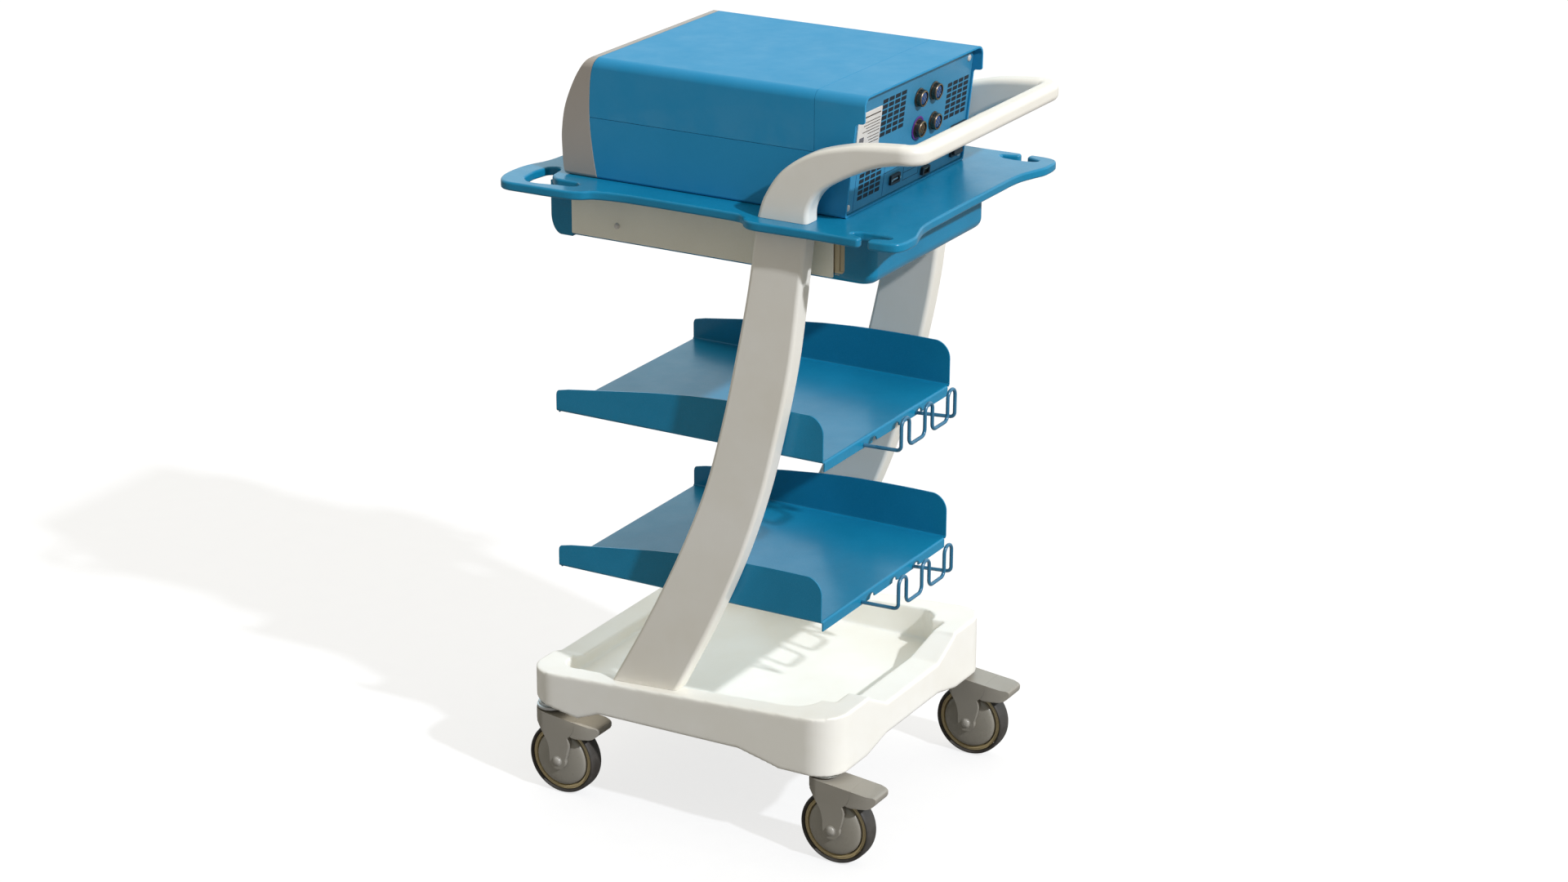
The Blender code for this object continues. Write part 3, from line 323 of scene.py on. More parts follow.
def bake(obj, angle=32, keep_normals=False):
    """Replaces the object by its evaluated mesh, under the same name."""
    mesh = evaluated(obj)
    if not keep_normals:
        tidy(mesh)
    name, materials = obj.name, list(obj.data.materials)
    bpy.data.objects.remove(obj, do_unlink=True)
    mesh.materials.clear()
    smooth(mesh, angle)
    return new_object(name, mesh, *materials)


def modifier(obj, kind, **values):
    added = obj.modifiers.new(kind.lower(), kind)
    for key, value in values.items():
        setattr(added, key, value)


def weighted(obj):
    """Area weighted normals, so that flats read flat."""
    modifier(obj, "WEIGHTED_NORMAL", keep_sharp=True, weight=60)
    return obj


def rounded(obj, width, steps=2, angle=40):
    """Rounds the edges sharper than angle (degrees)."""
    modifier(obj, "BEVEL", width=width * MM, segments=steps, limit_method="ANGLE",
             angle_limit=radians(angle), miter_outer="MITER_ARC")
    return bake(obj, 40)


def soften(obj, width, steps=2, angle=40):
    return weighted(rounded(obj, width, steps, angle))


def crisp(obj, angle):
    tidy(obj.data)
    smooth(obj.data, angle)
    return weighted(obj)


def plate(name, outline, low, high, plane, material=None, holes=(), edge=0.0, resolution=3):
    """A flat outline with holes between two heights; edge rounds its rims without growing it."""
    curve = bpy.data.curves.new(name, "CURVE")
    curve.dimensions = "2D"
    curve.fill_mode = "BOTH"
    curve.extrude = ((high - low) / 2 - edge) * MM
    if edge:
        curve.bevel_depth = edge * MM
        curve.bevel_resolution = resolution
        curve.offset = -edge * MM
    for loop in (outline, *holes):
        spline = curve.splines.new("POLY")
        spline.points.add(len(loop) - 1)
        for point, (x, y) in zip(spline.points, loop):
            point.co = (x * MM, y * MM, 0, 1)
        spline.use_cyclic_u = True
    obj = new_object(name, curve, *([material] if material else []))
    middle = (low + high) / 2 * MM
    if plane is XZ:
        middle = -middle
    obj.matrix_world = plane @ Matrix.Translation((0, 0, middle))
    return bake(obj)


def cutter(outline, low, high, plane):
    return plate("cutter", outline, low, high, plane)


def box(name, xs, ys, zs, *material):
    """A block between the (low, high) pairs xs, ys and zs."""
    bm = bmesh.new()
    ranges = (xs, ys, zs)
    size = Matrix.Diagonal((*((high - low) * MM for low, high in ranges), 1))
    middle = Vector([(low + high) / 2 for low, high in ranges]) * MM
    bmesh.ops.create_cube(bm, size=1.0, matrix=Matrix.Translation(middle) @ size)
    return from_bmesh(name, bm, *material)


def rod(name, radius, start, end, segments, *material):
    a, b = Vector(start) * MM, Vector(end) * MM
    along = b - a
    place = Matrix.Translation((a + b) / 2) @ along.to_track_quat("Z", "Y").to_matrix().to_4x4()
    bm = bmesh.new()
    bmesh.ops.create_cone(bm, cap_ends=True, segments=segments, radius1=radius * MM,
                          radius2=radius * MM, depth=along.length, matrix=place)
    return from_bmesh(name, bm, *material)


def turned(name, profile, segments, place, material, closed=False):
    """A (radius, height) profile turned about local Z."""
    bm = bmesh.new()
    rings = []
    for r, z in profile:
        if r < 1e-6:
            points = [(0, 0, z * MM)]
        else:
            points = [(r * MM * cos(tau * k / segments), r * MM * sin(tau * k / segments), z * MM)
                      for k in range(segments)]
        rings.append([bm.verts.new(place @ Vector(p)) for p in points])
    pairs = list(zip(rings, rings[1:]))
    if closed:
        pairs.append((rings[-1], rings[0]))
    for a, b in pairs:
        if len(a) == 1 and len(b) == 1:
            continue
        for k in range(segments):
            after = (k + 1) % segments
            if len(a) == 1:
                bm.faces.new((a[0], b[k], b[after]))
            elif len(b) == 1:
                bm.faces.new((a[k], b[0], a[after]))
            else:
                bm.faces.new((a[k], b[k], b[after], a[after]))
    face_outward(bm)
    obj = from_bmesh(name, bm, material)
    smooth(obj.data, 35)
    return obj


def lofted(name, rings, *material):
    """A capped skin through closed rings of points."""
    bm = bmesh.new()
    rows = [[bm.verts.new(Vector(p) * MM) for p in ring] for ring in rings]
    count = len(rings[0])
    for a, b in zip(rows, rows[1:]):
        for i in range(count):
            after = (i + 1) % count
            bm.faces.new((a[i], a[after], b[after], b[i]))
    bm.faces.new(rows[0])
    bm.faces.new(list(reversed(rows[-1])))
    obj = from_bmesh(name, bm, *material)
    tidy(obj.data)
    smooth(obj.data, 40)
    return obj


def combine(obj, *others, operation="DIFFERENCE"):
    for other in others:
        modifier(obj, "BOOLEAN", operation=operation, solver="EXACT", object=other)
    obj = bake(obj)
    for other in others:
        bpy.data.objects.remove(other, do_unlink=True)
    return obj


def placed(obj, matrix):
    obj.data.transform(matrix)
    return obj


def joined(name, pieces):
    """Several pieces of one material each as one object, with a slot per material."""
    materials, bm = [], bmesh.new()
    for obj in pieces:
        mesh = evaluated(obj)
        material = obj.data.materials[0]
        if material not in materials:
            materials.append(material)
        for polygon in mesh.polygons:
            polygon.material_index = materials.index(material)
        bm.from_mesh(mesh)
        bpy.data.meshes.remove(mesh)
        bpy.data.objects.remove(obj, do_unlink=True)
    obj = from_bmesh(name, bm, *materials)
    smooth(obj.data, 35)
    return obj


def settle(obj, node=None, body=ROOT):
    """Moves a finished piece to the frame's origin, ties it to its body and hides its node's
    imported part.
    """
    obj.data.transform(TO_ORIGIN)
    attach(obj, body)
    if node:
        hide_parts(node)


# ------------------------------------------------------------------ outline helpers
def arc(x, y, radius, start, end, steps):
    angles = [radians(start + (end - start) * i / steps) for i in range(steps + 1)]
    return [(x + radius * cos(a), y + radius * sin(a)) for a in angles]


def filleted(points, steps=8):
    """Rounds the corners of an outline of (x, y) or (x, y, radius) points."""
    out = []
    for i, point in enumerate(points):
        radius = point[2] if len(point) > 2 else 0.0
        here = Vector(point[:2])
        if radius <= 0:
            out.append(tuple(here))
            continue
        before = Vector(points[i - 1][:2]) - here
        after = Vector(points[(i + 1) % len(points)][:2]) - here
        u, v = before.normalized(), after.normalized()
        half = acos(max(-1, min(1, u.dot(v)))) / 2
        if abs(half - pi / 2) < 1e-4:
            out.append(tuple(here))
            continue
        run = min(radius / tan(half), before.length * 0.49, after.length * 0.49)
        radius = run * tan(half)
        centre = here + (u + v).normalized() * (radius / sin(half))
        a, b = here + u * run - centre, here + v * run - centre
        start = atan2(a.y, a.x)
        sweep = atan2(b.y, b.x) - start
        while sweep > pi:
            sweep -= tau
        while sweep < -pi:
            sweep += tau
        for k in range(steps + 1):
            angle = start + sweep * k / steps
            out.append((centre.x + radius * cos(angle), centre.y + radius * sin(angle)))
    return out


def spline_through(points, steps):
    """A Catmull-Rom curve through the points, with so many steps between each pair."""
    out = []
    count = len(points)
    for i in range(count - 1):
        p = [Vector(points[max(0, min(count - 1, i + k))]) for k in (-1, 0, 1, 2)]
        for step in range(steps):
            t = step / steps
            out.append(tuple(0.5 * (
                (2 * p[1]) + (p[2] - p[0]) * t + (2 * p[0] - 5 * p[1] + 4 * p[2] - p[3]) * t * t
                + (3 * p[1] - p[0] - 3 * p[2] + p[3]) * t ** 3)))
    out.append(tuple(points[-1]))
    return out


def thinned(points, least):
    """Drops points closer together than least, so that a rounded rim can't fold."""
    out = [points[0]]
    for point in points[1:]:
        if dist(point, out[-1]) >= least:
            out.append(point)
    return out


def section(centre, across, up, width, height, radius):
    """A rounded rectangle as a ring of 3D points."""
    points = []
    for x, y, start in ((1, 1, 0), (-1, 1, 90), (-1, -1, 180), (1, -1, 270)):
        for k in range(7):
            angle = radians(start + 90 * k / 6)
            points.append(tuple(centre + across * (x * (width / 2 - radius) + radius * cos(angle))
                                + up * (y * (height / 2 - radius) + radius * sin(angle))))
    return points


def section_between(first, second, x, width, radius):
    """A rounded section whose height spans two (y, z) points."""
    a, b = Vector((0, *first)), Vector((0, *second))
    up = a - b
    return section((a + b) / 2 + Vector((x, 0, 0)), Vector((1, 0, 0)), up.normalized(),
                   width, up.length, radius)


# ------------------------------------------------------------------ base
BASE_X, BASE_Y, BASE_CORNER = 222.0, 239.0, 44.0
PAD_Z, ARCH_Z, PAN_Z = 123.5, 137.0, 155.0      # underside, side arch and tray floor
RIM_SLOPE = 0.059
# cut outlines, columns (y, z)
SIDE_ARCH = [(-156, 90), (-156, PAD_Z), (-122, ARCH_Z), (94, ARCH_Z + 1.5), (154, PAD_Z + 0.5),
             (154, 90)]
PAN_LEAN = [(150, PAN_Z), (184, PAN_Z), (209, 212), (209, 260), (150, 260)]
FRONT_RISE = [(-262, 90), (-262, 141.4), (-157, PAD_Z), (-157, 90)]
# cut outlines, columns (x, z)
END_ARCH = [(-127, 90), (-127, PAD_Z), (-76, 134.5), (76, 134.5), (127, PAD_Z), (127, 90)]
REAR_DIP = [(-126, 250), (-122, 204), (-74, 180), (74, 180), (122, 204), (126, 250)]
FRONT_DIP = [(-156, 250), (-150, 179), (-130, 173), (130, 173), (150, 179), (156, 250)]
# the hollow in plan, columns (x, y, corner radius)
PAN = [(190, -202, 26), (190, 184, 34), (-190, 184, 34), (-190, -202, 26)]


def rim_z(y):
    return 179.9 + (y + 216.8) * RIM_SLOPE


def build_base():
    outline = filleted([(BASE_X, -BASE_Y, BASE_CORNER), (BASE_X, BASE_Y, BASE_CORNER),
                        (-BASE_X, BASE_Y, BASE_CORNER), (-BASE_X, -BASE_Y, BASE_CORNER)], 16)
    body = plate("base_moulding", outline, PAD_Z, 230, XY, BASE)
    above_rim = placed(box("cutter", (-300, 300), (-300, 300), (0, 100)),
                       Matrix.Translation((0, 0, rim_z(0) * MM)) @ turn(atan(RIM_SLOPE), "X"))
    cuts = [above_rim, cutter(SIDE_ARCH, -300, 300, YZ), cutter(END_ARCH, -300, 300, XZ),
            cutter(REAR_DIP, 100, 300, XZ), cutter(FRONT_DIP, -300, -190, XZ)]
    pan = combine(cutter(filleted(PAN, 12), PAN_Z, 260, XY), cutter(PAN_LEAN, -156, 156, YZ),
                  operation="UNION")
    body = combine(body, *cuts, pan)
    # the underside climbs towards the front end
    body = combine(body, cutter(FRONT_RISE, -300, 300, YZ))
    modifier(body, "REMESH", mode="VOXEL", voxel_size=0.0021, use_smooth_shade=True)
    modifier(body, "SMOOTH", factor=0.5, iterations=4)
    body = bake(body, 180, keep_normals=True)
    body.data.shade_smooth()
    settle(body, "base_tray")


# ------------------------------------------------------------------ posts and handle
# edge lines from bottom to top, or from the tray to the bar, columns (y, z)
POST_FRONT = [(-108, 186), (-55, 283), (-5, 386), (35, 485), (61, 580), (81, 671), (98, 760),
              (111, TRAY_BOTTOM - 0.3)]
POST_REAR = [(-7, 192), (44, 293), (89, 395), (122, 492), (145, 585), (163, 676), (174, 764),
             (183.5, TRAY_BOTTOM - 0.3)]
HANDLE_UPPER = [(113, TRAY_TOP + 0.3), (122, 891), (146, 926), (187, 954), (234, 969),
                (270, 975), (309, 978.5)]
HANDLE_LOWER = [(185, TRAY_TOP + 0.3), (187, 884), (201, 906), (230, 925), (257, 938.5),
                (283, 948.5), (309, 954)]
POST_ROUND = 6.0
BAR_Y, BAR_Z = 326.5, 966.3
BAR_WIDTH, BAR_HEIGHT, BAR_ROUND = 25.0, 24.0, 8.5
BAR_BEND = 17.5                         # radius of the bend from arm to bar
ARM_END_WIDTH = 27


def build_posts():
    for name, side in SIDES:
        front, rear = spline_through(POST_FRONT, 9), spline_through(POST_REAR, 9)
        for line in (front, rear):
            line[0] = (line[0][0], rim_z(line[0][0]) + 0.3)
        rings = [section_between(a, b, side * POST_X, POST_WIDTH, POST_ROUND)
                 for a, b in zip(front, rear)]
        post = lofted(f"post_{name}_moulding", rings, IVORY)
        settle(weighted(post), f"post_{name}")


def build_handle():
    upper, lower = spline_through(HANDLE_UPPER, 8), spline_through(HANDLE_LOWER, 8)
    narrowing = POST_WIDTH - ARM_END_WIDTH
    rings = []
    for i, (a, b) in enumerate(zip(upper, lower)):
        along = i / (len(upper) - 1)
        rings.append(section_between(a, b, POST_X, POST_WIDTH - narrowing * along,
                                     POST_ROUND + (BAR_ROUND - POST_ROUND) * along))
    start = HANDLE_UPPER[-1][0]
    straight = POST_X - BAR_BEND
    up = Vector((0, 0, 1))
    for k in range(1, 15):
        angle = radians(90 * k / 14)
        centre = Vector((straight + BAR_BEND * cos(angle),
                         start + (BAR_Y - start) * sin(angle), BAR_Z))
        rings.append(section(centre, Vector((cos(angle), sin(angle), 0)), up,
                             ARM_END_WIDTH - (ARM_END_WIDTH - BAR_WIDTH) * k / 14,
                             BAR_HEIGHT, BAR_ROUND))
    for k in range(1, 10):
        centre = Vector((straight - straight * k / 10, BAR_Y, BAR_Z))
        rings.append(section(centre, Vector((0, 1, 0)), up, BAR_WIDTH, BAR_HEIGHT, BAR_ROUND))
    other = [[(-x, y, z) for x, y, z in ring] for ring in reversed(rings)]
    handle = lofted("push_handle_moulding", rings + other, IVORY)
    settle(weighted(handle), "push_handle")


# ------------------------------------------------------------------ top tray
# right half of the outline from front to rear, columns (x, y[, corner radius])
TRAY_FRONT = [
    (0, -252), (105, -253), (150, -266), (176, -269), (203, -267), (222, -259), (232, -246),
    (232.5, -215), (231, -160), (225, -138), (214, -122), (208, -92), (206, -50), (206, 70),
    (212, 94), (224, 104), (230.5, 119), (230, 150), (228.5, 210), (228.8, 235), (229.5, 250)]
TRAY_SIDE_SLOT = [
    (229.5, 250), (229.3, 268, 4.2), (218.6, 268.3, 4.2), (213.4, 256, 10),
    (210.8, 247.2, 2.2), (204.2, 246.6, 5), (198.2, 257.5, 12), (197.2, 270.8, 20),
    (197.9, 284, 20), (199.6, 292.5, 10), (203.0, 301.3, 3), (208.6, 301.8, 2.2),
    (214.0, 288, 10), (217.6, 280.6, 4.2), (229.6, 280.0, 4.2), (229.3, 293)]
TRAY_REAR = [
    (229.3, 293), (228.6, 305), (225, 316.5), (217.5, 322.5), (207, 325), (192, 325.5),
    (180, 324.3), (164, 319), (140, 312), (115, 309.5), (90, 309.3), (0, 309)]
# opening at the front corner
TRAY_GRIP = [
    (139, -222, 6), (146, -235, 9), (174, -239, 30), (203, -235, 14), (216, -222, 14),
    (216, -205, 20), (210, -180, 30), (207, -158, 6), (196, -154, 7), (188, -164, 8),
    (188, -197, 14), (175, -211, 14), (148, -215, 7)]


def build_tray():
    half = thinned(spline_through(TRAY_FRONT, 6)[:-1] + filleted(TRAY_SIDE_SLOT, 6)[1:-1]
                   + spline_through(TRAY_REAR, 6), 1.2)
    outline = half + [(-x, y) for x, y in reversed(half) if abs(x) > 1e-6]
    grips = [[(x * side, y) for x, y in filleted(TRAY_GRIP)] for _, side in SIDES]
    board = plate("top_tray_board", outline, TRAY_BOTTOM, TRAY_TOP, XY, BLUE, holes=grips,
                  edge=3.2, resolution=4)
    settle(weighted(board), "top_tray")


# ------------------------------------------------------------------ shelves and racks
SHELF_X, SHEET = 177.5, 2.0
SIDE_BEND = 3.0                         # side fold's radius, at the middle of the sheet
LIP_REACH = 3.0                         # end lip's outer bend
LIP_BEND = LIP_REACH - SHEET / 2
FRONT_DROP, REAR_DROP = 3.5, 13.0       # lip depths below the sheet's middle
NOTCH_X, NOTCH_R = (37.0, -26.0, -89.0), 6.2
# side flange above the deck, columns (y, height), and the rounding of its ends
FLANGE = [(SHELF_Y0, 29), (-195, 30.5), (-136, 39), (-61, 49.5), (1, 56), (52, 59.3),
          (110, 60.8), (146, 61), (SHELF_Y1, 60.5)]
FLANGE_FRONT_TOP, FLANGE_FRONT_R = 29.5, 8.0
FLANGE_REAR_TOP, FLANGE_REAR_R = 61, 24.0
WIRE_R, RACK_Y = 2.5, 250.0


def flange_height(y):
    for (a, low), (b, high) in zip(FLANGE, FLANGE[1:]):
        if y <= b:
            height = low + (high - low) * (y - a) / (b - a)
            break
    front, rear = SHELF_Y0 + FLANGE_FRONT_R, SHELF_Y1 - FLANGE_REAR_R
    if y > rear:
        drop = sqrt(max(0, FLANGE_REAR_R ** 2 - (y - SHELF_Y1 + FLANGE_REAR_R) ** 2))
        height = min(height, FLANGE_REAR_TOP - FLANGE_REAR_R + drop)
    if y < front:
        drop = sqrt(max(0, FLANGE_FRONT_R ** 2 - (front - y) ** 2))
        height = min(height, FLANGE_FRONT_TOP - FLANGE_FRONT_R + drop)
    return height


def add_grid(bm, rows):
    cells = [[bm.verts.new(Vector(p) * MM) for p in row] for row in rows]
    for a, b in zip(cells, cells[1:]):
        for i in range(len(a) - 1):
            bm.faces.new((a[i], a[i + 1], b[i + 1], b[i]))


def shelf_stations(span_x, lip_x, front, rear):
    """The deck's x stations, dense round the notches, and y stations, dense at the ends."""
    xs = {-span_x, span_x, -lip_x, lip_x} | {-span_x + 2 * span_x * k / 30 for k in range(31)}
    xs = {x for x in xs if all(abs(x - c) > 7.0 for c in NOTCH_X) or abs(x) >= lip_x}
    xs |= {c + NOTCH_R * cos(pi * k / 12) for c in NOTCH_X for k in range(13)}
    curve = SHELF_Y1 - FLANGE_REAR_R
    ys = [SHELF_Y0, SHELF_Y0 + 0.8, SHELF_Y0 + 1.8, rear]
    ys += [front + (curve - front) * k / 24 for k in range(25)]
    ys += [curve + FLANGE_REAR_R * sin(pi / 2 * k / 12) for k in range(1, 13)]
    return [sorted(set(round(v, 4) for v in values)) for values in (xs, ys)]


def build_shelf(name, z):
    """One folded sheet: deck, two side flanges and a lip bent down at each end."""
    wall_x = SHELF_X - SHEET / 2
    span_x, middle = wall_x - SIDE_BEND, z - SHEET / 2
    lip_x = span_x - 1.5
    front, rear = SHELF_Y0 + LIP_REACH, SHELF_Y1 - LIP_REACH
    xs, ys = shelf_stations(span_x, lip_x, front, rear)
    bm = bmesh.new()
    for side in (1, -1):
        rows = []
        for y in ys:
            height = flange_height(y) + SHEET / 2
            path = [(wall_x, middle + SIDE_BEND + (height - SIDE_BEND) * k / 6)
                    for k in range(6, 0, -1)]
            path += arc(wall_x - SIDE_BEND, middle + SIDE_BEND, SIDE_BEND, 0, -90, 6)
            row = [(side * x, y, height) for x, height in path]
            rows.append(row if side > 0 else row[::-1])
        add_grid(bm, rows)
    add_grid(bm, [[(x, y, middle) for x in reversed(xs)]
                  for y in ys if front - 1e-6 <= y <= rear + 1e-6])
    bends = [(LIP_BEND * sin(pi / 2 * k / 5), LIP_BEND * (1 - cos(pi / 2 * k / 5)))
             for k in range(1, 6)]
    # the rear lip is notched
    for end, sign, drop, notches in ((rear, 1, REAR_DROP, NOTCH_X), (front, -1, FRONT_DROP, ())):
        columns = []
        for x in [x for x in xs if abs(x) <= lip_x + 1e-6]:
            low = drop
            for c in notches:
                if abs(x - c) <= NOTCH_R + 1e-6:
                    low = drop - sqrt(max(0.0, NOTCH_R ** 2 - (x - c) ** 2)) - 0.4
            column = [(x, end, middle)]
            column += [(x, end + sign * out, middle - down) for out, down in bends]
            column += [(x, end + sign * LIP_BEND, middle - LIP_BEND - (low - LIP_BEND) * k / 4)
                       for k in range(1, 5)]
            columns.append(column)
        add_grid(bm, columns)
    bmesh.ops.remove_doubles(bm, verts=bm.verts, dist=1e-5)
    bmesh.ops.recalc_face_normals(bm, faces=bm.faces)
    if max(bm.faces, key=lambda f: f.calc_area()).normal.z < 0:
        bmesh.ops.reverse_faces(bm, faces=bm.faces)
    sheet = from_bmesh(name + "_sheet", bm, BLUE)
    modifier(sheet, "SOLIDIFY", thickness=SHEET * MM, offset=0.0, use_even_offset=True,
             use_rim=True)
    modifier(sheet, "BEVEL", width=0.45 * MM, segments=2, limit_method="ANGLE",
             angle_limit=radians(50))
    settle(weighted(bake(sheet, 40, keep_normals=True)), name)


def bent_wire(name, turns, radius, material):
    """A round wire through (point, bend radius) turns."""
    points = []
    for i, (corner, bend) in enumerate(turns):
        p = Vector(corner)
        if bend == 0:
            points.append(p)
            continue
        a, b = [(Vector(turns[i + k][0]) - p).normalized() for k in (-1, 1)]
        angle = a.angle(b)
        run = bend / tan(angle / 2)
        centre = p + (a + b).normalized() * (bend / sin(angle / 2))
        u = (p + a * run - centre).normalized()
        v = (p + b * run - centre).normalized()
        sweep = u.angle(v)
        for k in range(10):
            t = k / 9
            points.append(centre + (u * sin((1 - t) * sweep) + v * sin(t * sweep))
                          / sin(sweep) * bend)
    curve = bpy.data.curves.new(name, "CURVE")
    curve.dimensions = "3D"
    curve.bevel_depth = radius * MM
    curve.bevel_resolution = 4
    curve.use_fill_caps = True
    spline = curve.splines.new("POLY")
    spline.points.add(len(points) - 1)
    for target, p in zip(spline.points, points):
        target.co = (*(p * MM), 1)
    return bake(new_object(name, curve, material), 60)


def build_rack(name, z):
    """A wire behind the shelf, bent into two U shapes between its ends."""
    start = SHELF_Y1 + 0.6
    top, bottom, end = z + 34.5, z - 5.6, z - 10.0
    # turns behind the shelf, columns (x, z, bend radius)
    path = [(70, end + 3, 7), (70, top, 10), (48, top, 10), (48, bottom, 9), (4, bottom, 9),
            (4, top, 10), (-17, top, 10), (-17, bottom, 9), (-61, bottom, 9), (-61, top, 10),
            (-82, top, 10), (-82, end + 3, 7)]
    turns = [((67, start, end), 0), *(((x, RACK_Y, height), r) for x, height, r in path),
             ((-79, start, end), 0)]
    settle(bent_wire(name + "_wire", turns, WIRE_R, WIRE), name)


# ------------------------------------------------------------------ housing
HOUSE_X, HOUSE_Y0, HOUSE_Y1, HOUSE_Z0, HOUSE_Z1 = 155.0, -226.0, 251.0, 778.0, 851.0
HOUSE_FRONT, HOUSE_WALL = -193.0, 2.0
# opening through both sides, columns (y, z[, corner radius])
HOUSE_WINDOW = [(-205, 789), (210, 789, 6), (210, 838, 6), (-205, 838)]


def tub_rings(inset, corner, side_round, rear_round, front, top):
    """Plan rings of a tub whose bottom edges are rounded, more at the rear than at the sides."""
    rings = []
    for k in range(11):
        angle = pi / 2 * k / 10
        out = 1 - sin(angle)
        height = HOUSE_Z0 + inset + rear_round * (1 - cos(angle))
        x, y = HOUSE_X - inset - side_round * out, HOUSE_Y1 - inset - rear_round * out
        plan = filleted([(x, front), (x, y, corner), (-x, y, corner), (-x, front)], 10)
        rings.append([(*point, height) for point in plan])
    rings.append([(x, y, top) for x, y, _ in rings[-1]])
    return rings


def build_tub():
    body = lofted("drawer_housing_tub",
                  tub_rings(0, 13, 9.0, 15.0, HOUSE_FRONT, HOUSE_Z1), BLUE)
    hollow = lofted("cutter",
                    tub_rings(HOUSE_WALL, 11, 8.5, 14.5, HOUSE_FRONT - 10, HOUSE_Z1 + 10))
    body = combine(body, hollow, cutter(filleted(HOUSE_WINDOW, 6), -200, 200, YZ))
    settle(soften(body, 0.5), "drawer_housing")
    # ledge across the rear wall
    x, inner, outer = HOUSE_X - 14, HOUSE_Y1 - 1.0, HOUSE_Y1 + 2.6
    outline = filleted([(x, inner), (x, outer, 1.2), (-x, outer, 1.2), (-x, inner)], 4)
    ledge = plate("housing_rear_ledge", outline, 838.5, 841.5, XY, BLUE)
    settle(soften(ledge, 0.8, 3))


def build_side_brackets():
    """Upright strips on a foot, standing in the rear end of each window."""
    for name, side in SIDES:
        bits = []
        for xs, ys, zs in (((152.9, 154.4), (195.4, 202.6), (786.5, 842)),
                           ((152.7, 153.9), (203.4, 210.4), (786.5, 842)),
                           ((152.7, 154.6), (195.4, 210.4), (788.4, 792.4))):
            bits.append(soften(box("fold", span(side, *xs), ys, zs, TAN), 0.6, 3))
        settle(joined(f"slide_bracket_{name}", bits))


def build_side_covers():
    outline = filleted([(-193, 783, 2), (195, 783, 2), (195, 850.8, 2), (-193, 850.8, 2)], 5)
    dome = [(0, 4.0), *((3.9 * sin(radians(a)), 0.8 + 3.2 * cos(radians(a)))
                        for a in range(15, 91, 15)), (4.0, 0), (0, 0)]
    for name, side in SIDES:
        cover = plate(f"side_cover_{name}_sheet", outline,
                      *span(side, HOUSE_X + 0.3, HOUSE_X + 2.5), YZ, BEIGE, edge=0.7,
                      resolution=2)
        settle(weighted(cover), f"side_cover_{name}")
        place = shift(side * (HOUSE_X + 2.6), -123, 803) @ turn(side * pi / 2, "Y")
        screw = turned(f"thumb_screw_{name}_head", dome, 28, place, LABEL)
        settle(screw, f"thumb_screw_{name}")


# ------------------------------------------------------------------ drawer
BOX_X, BOX_FRONT, BOX_REAR, BOX_WALL = 138.0, -192.9, 225, 2
FASCIA_BACK = -193.4
DIVIDER_Y = (-55.0, 88.0)
SLIDE_Z, SLIDE_FRONT = 812.0, -189


def box_outline(inset, front_corner, rear_corner):
    x, front, rear = BOX_X - inset, BOX_FRONT + inset, BOX_REAR - inset
    return filleted([(x, front, front_corner), (x, rear, rear_corner),
                     (-x, rear, rear_corner), (-x, front, front_corner)])


def build_drawer():
    bottom, top = HOUSE_Z0, HOUSE_Z1 - 1.5
    profile = [(FASCIA_BACK, top), (HOUSE_Y0, top)]
    profile += [(HOUSE_Y0 + 16 - 16 * cos(radians(a)), bottom + 27 - 27 * sin(radians(a)))
                for a in range(0, 91, 6)]
    profile.append((FASCIA_BACK, bottom))
    front = plate("drawer_front_fascia", profile, -HOUSE_X, HOUSE_X, YZ, BLUE)
    hollow = [(FASCIA_BACK + 5, top - 8), (HOUSE_Y0 + 4, top - 8), (HOUSE_Y0 + 4, bottom + 27),
              (HOUSE_Y0 + 9, bottom + 11), (HOUSE_Y0 + 19, bottom + 4),
              (FASCIA_BACK + 5, bottom + 4)]
    front = combine(front, cutter(hollow, -HOUSE_X + 4, HOUSE_X - 4, YZ))
    settle(soften(front, 1.6, 3, 35), "drawer_front", "drawer")
    shell = plate("drawer_box_shell", box_outline(0, 2, 9), 783, 838, XY, TAN)
    shell = combine(shell, cutter(box_outline(BOX_WALL, 3, 8), 785, 860, XY))
    settle(soften(shell, 0.6), "drawer_box", "drawer")
    inner = BOX_X - 2.2
    for i, y in enumerate(DIVIDER_Y, 1):
        wall = box(f"drawer_divider_{i}", (-inner, inner), (y, y + 1.6), (785.1, 826), TAN)
        settle(soften(wall, 0.5), body="drawer")


def rail(node, xs, rear, half_height, mouth_xs, mouth_half, material):
    """A bar along Y with a channel cut along one face."""
    bar = box(node + "_rail", xs, (SLIDE_FRONT, rear),
              (SLIDE_Z - half_height, SLIDE_Z + half_height), material)
    mouth = box("cutter", mouth_xs, (-200, rear + 8), (SLIDE_Z - mouth_half, SLIDE_Z + mouth_half))
    return soften(combine(bar, mouth), 0.35)


def build_slides():
    for name, side in SIDES:
        # C section opening towards the drawer
        node, near, sheet = f"slide_outer_{name}", BOX_X + 8.3, 1.3
        far = near + 6.2
        outer = rail(node, span(side, near, far), 209, 20.0,
                     span(side, near - 5, far - sheet), 20.0 - sheet, TAN)
        settle(outer, node)
        # bar with a shallow channel along its outer face
        node, near = f"slide_inner_{name}", BOX_X + 0.5
        far = near + 12.0
        inner = rail(node, span(side, near, far), 196, 16.0,
                     span(side, far - 2.2, far + 4), 8, STEEL)
        settle(inner, node, "drawer")


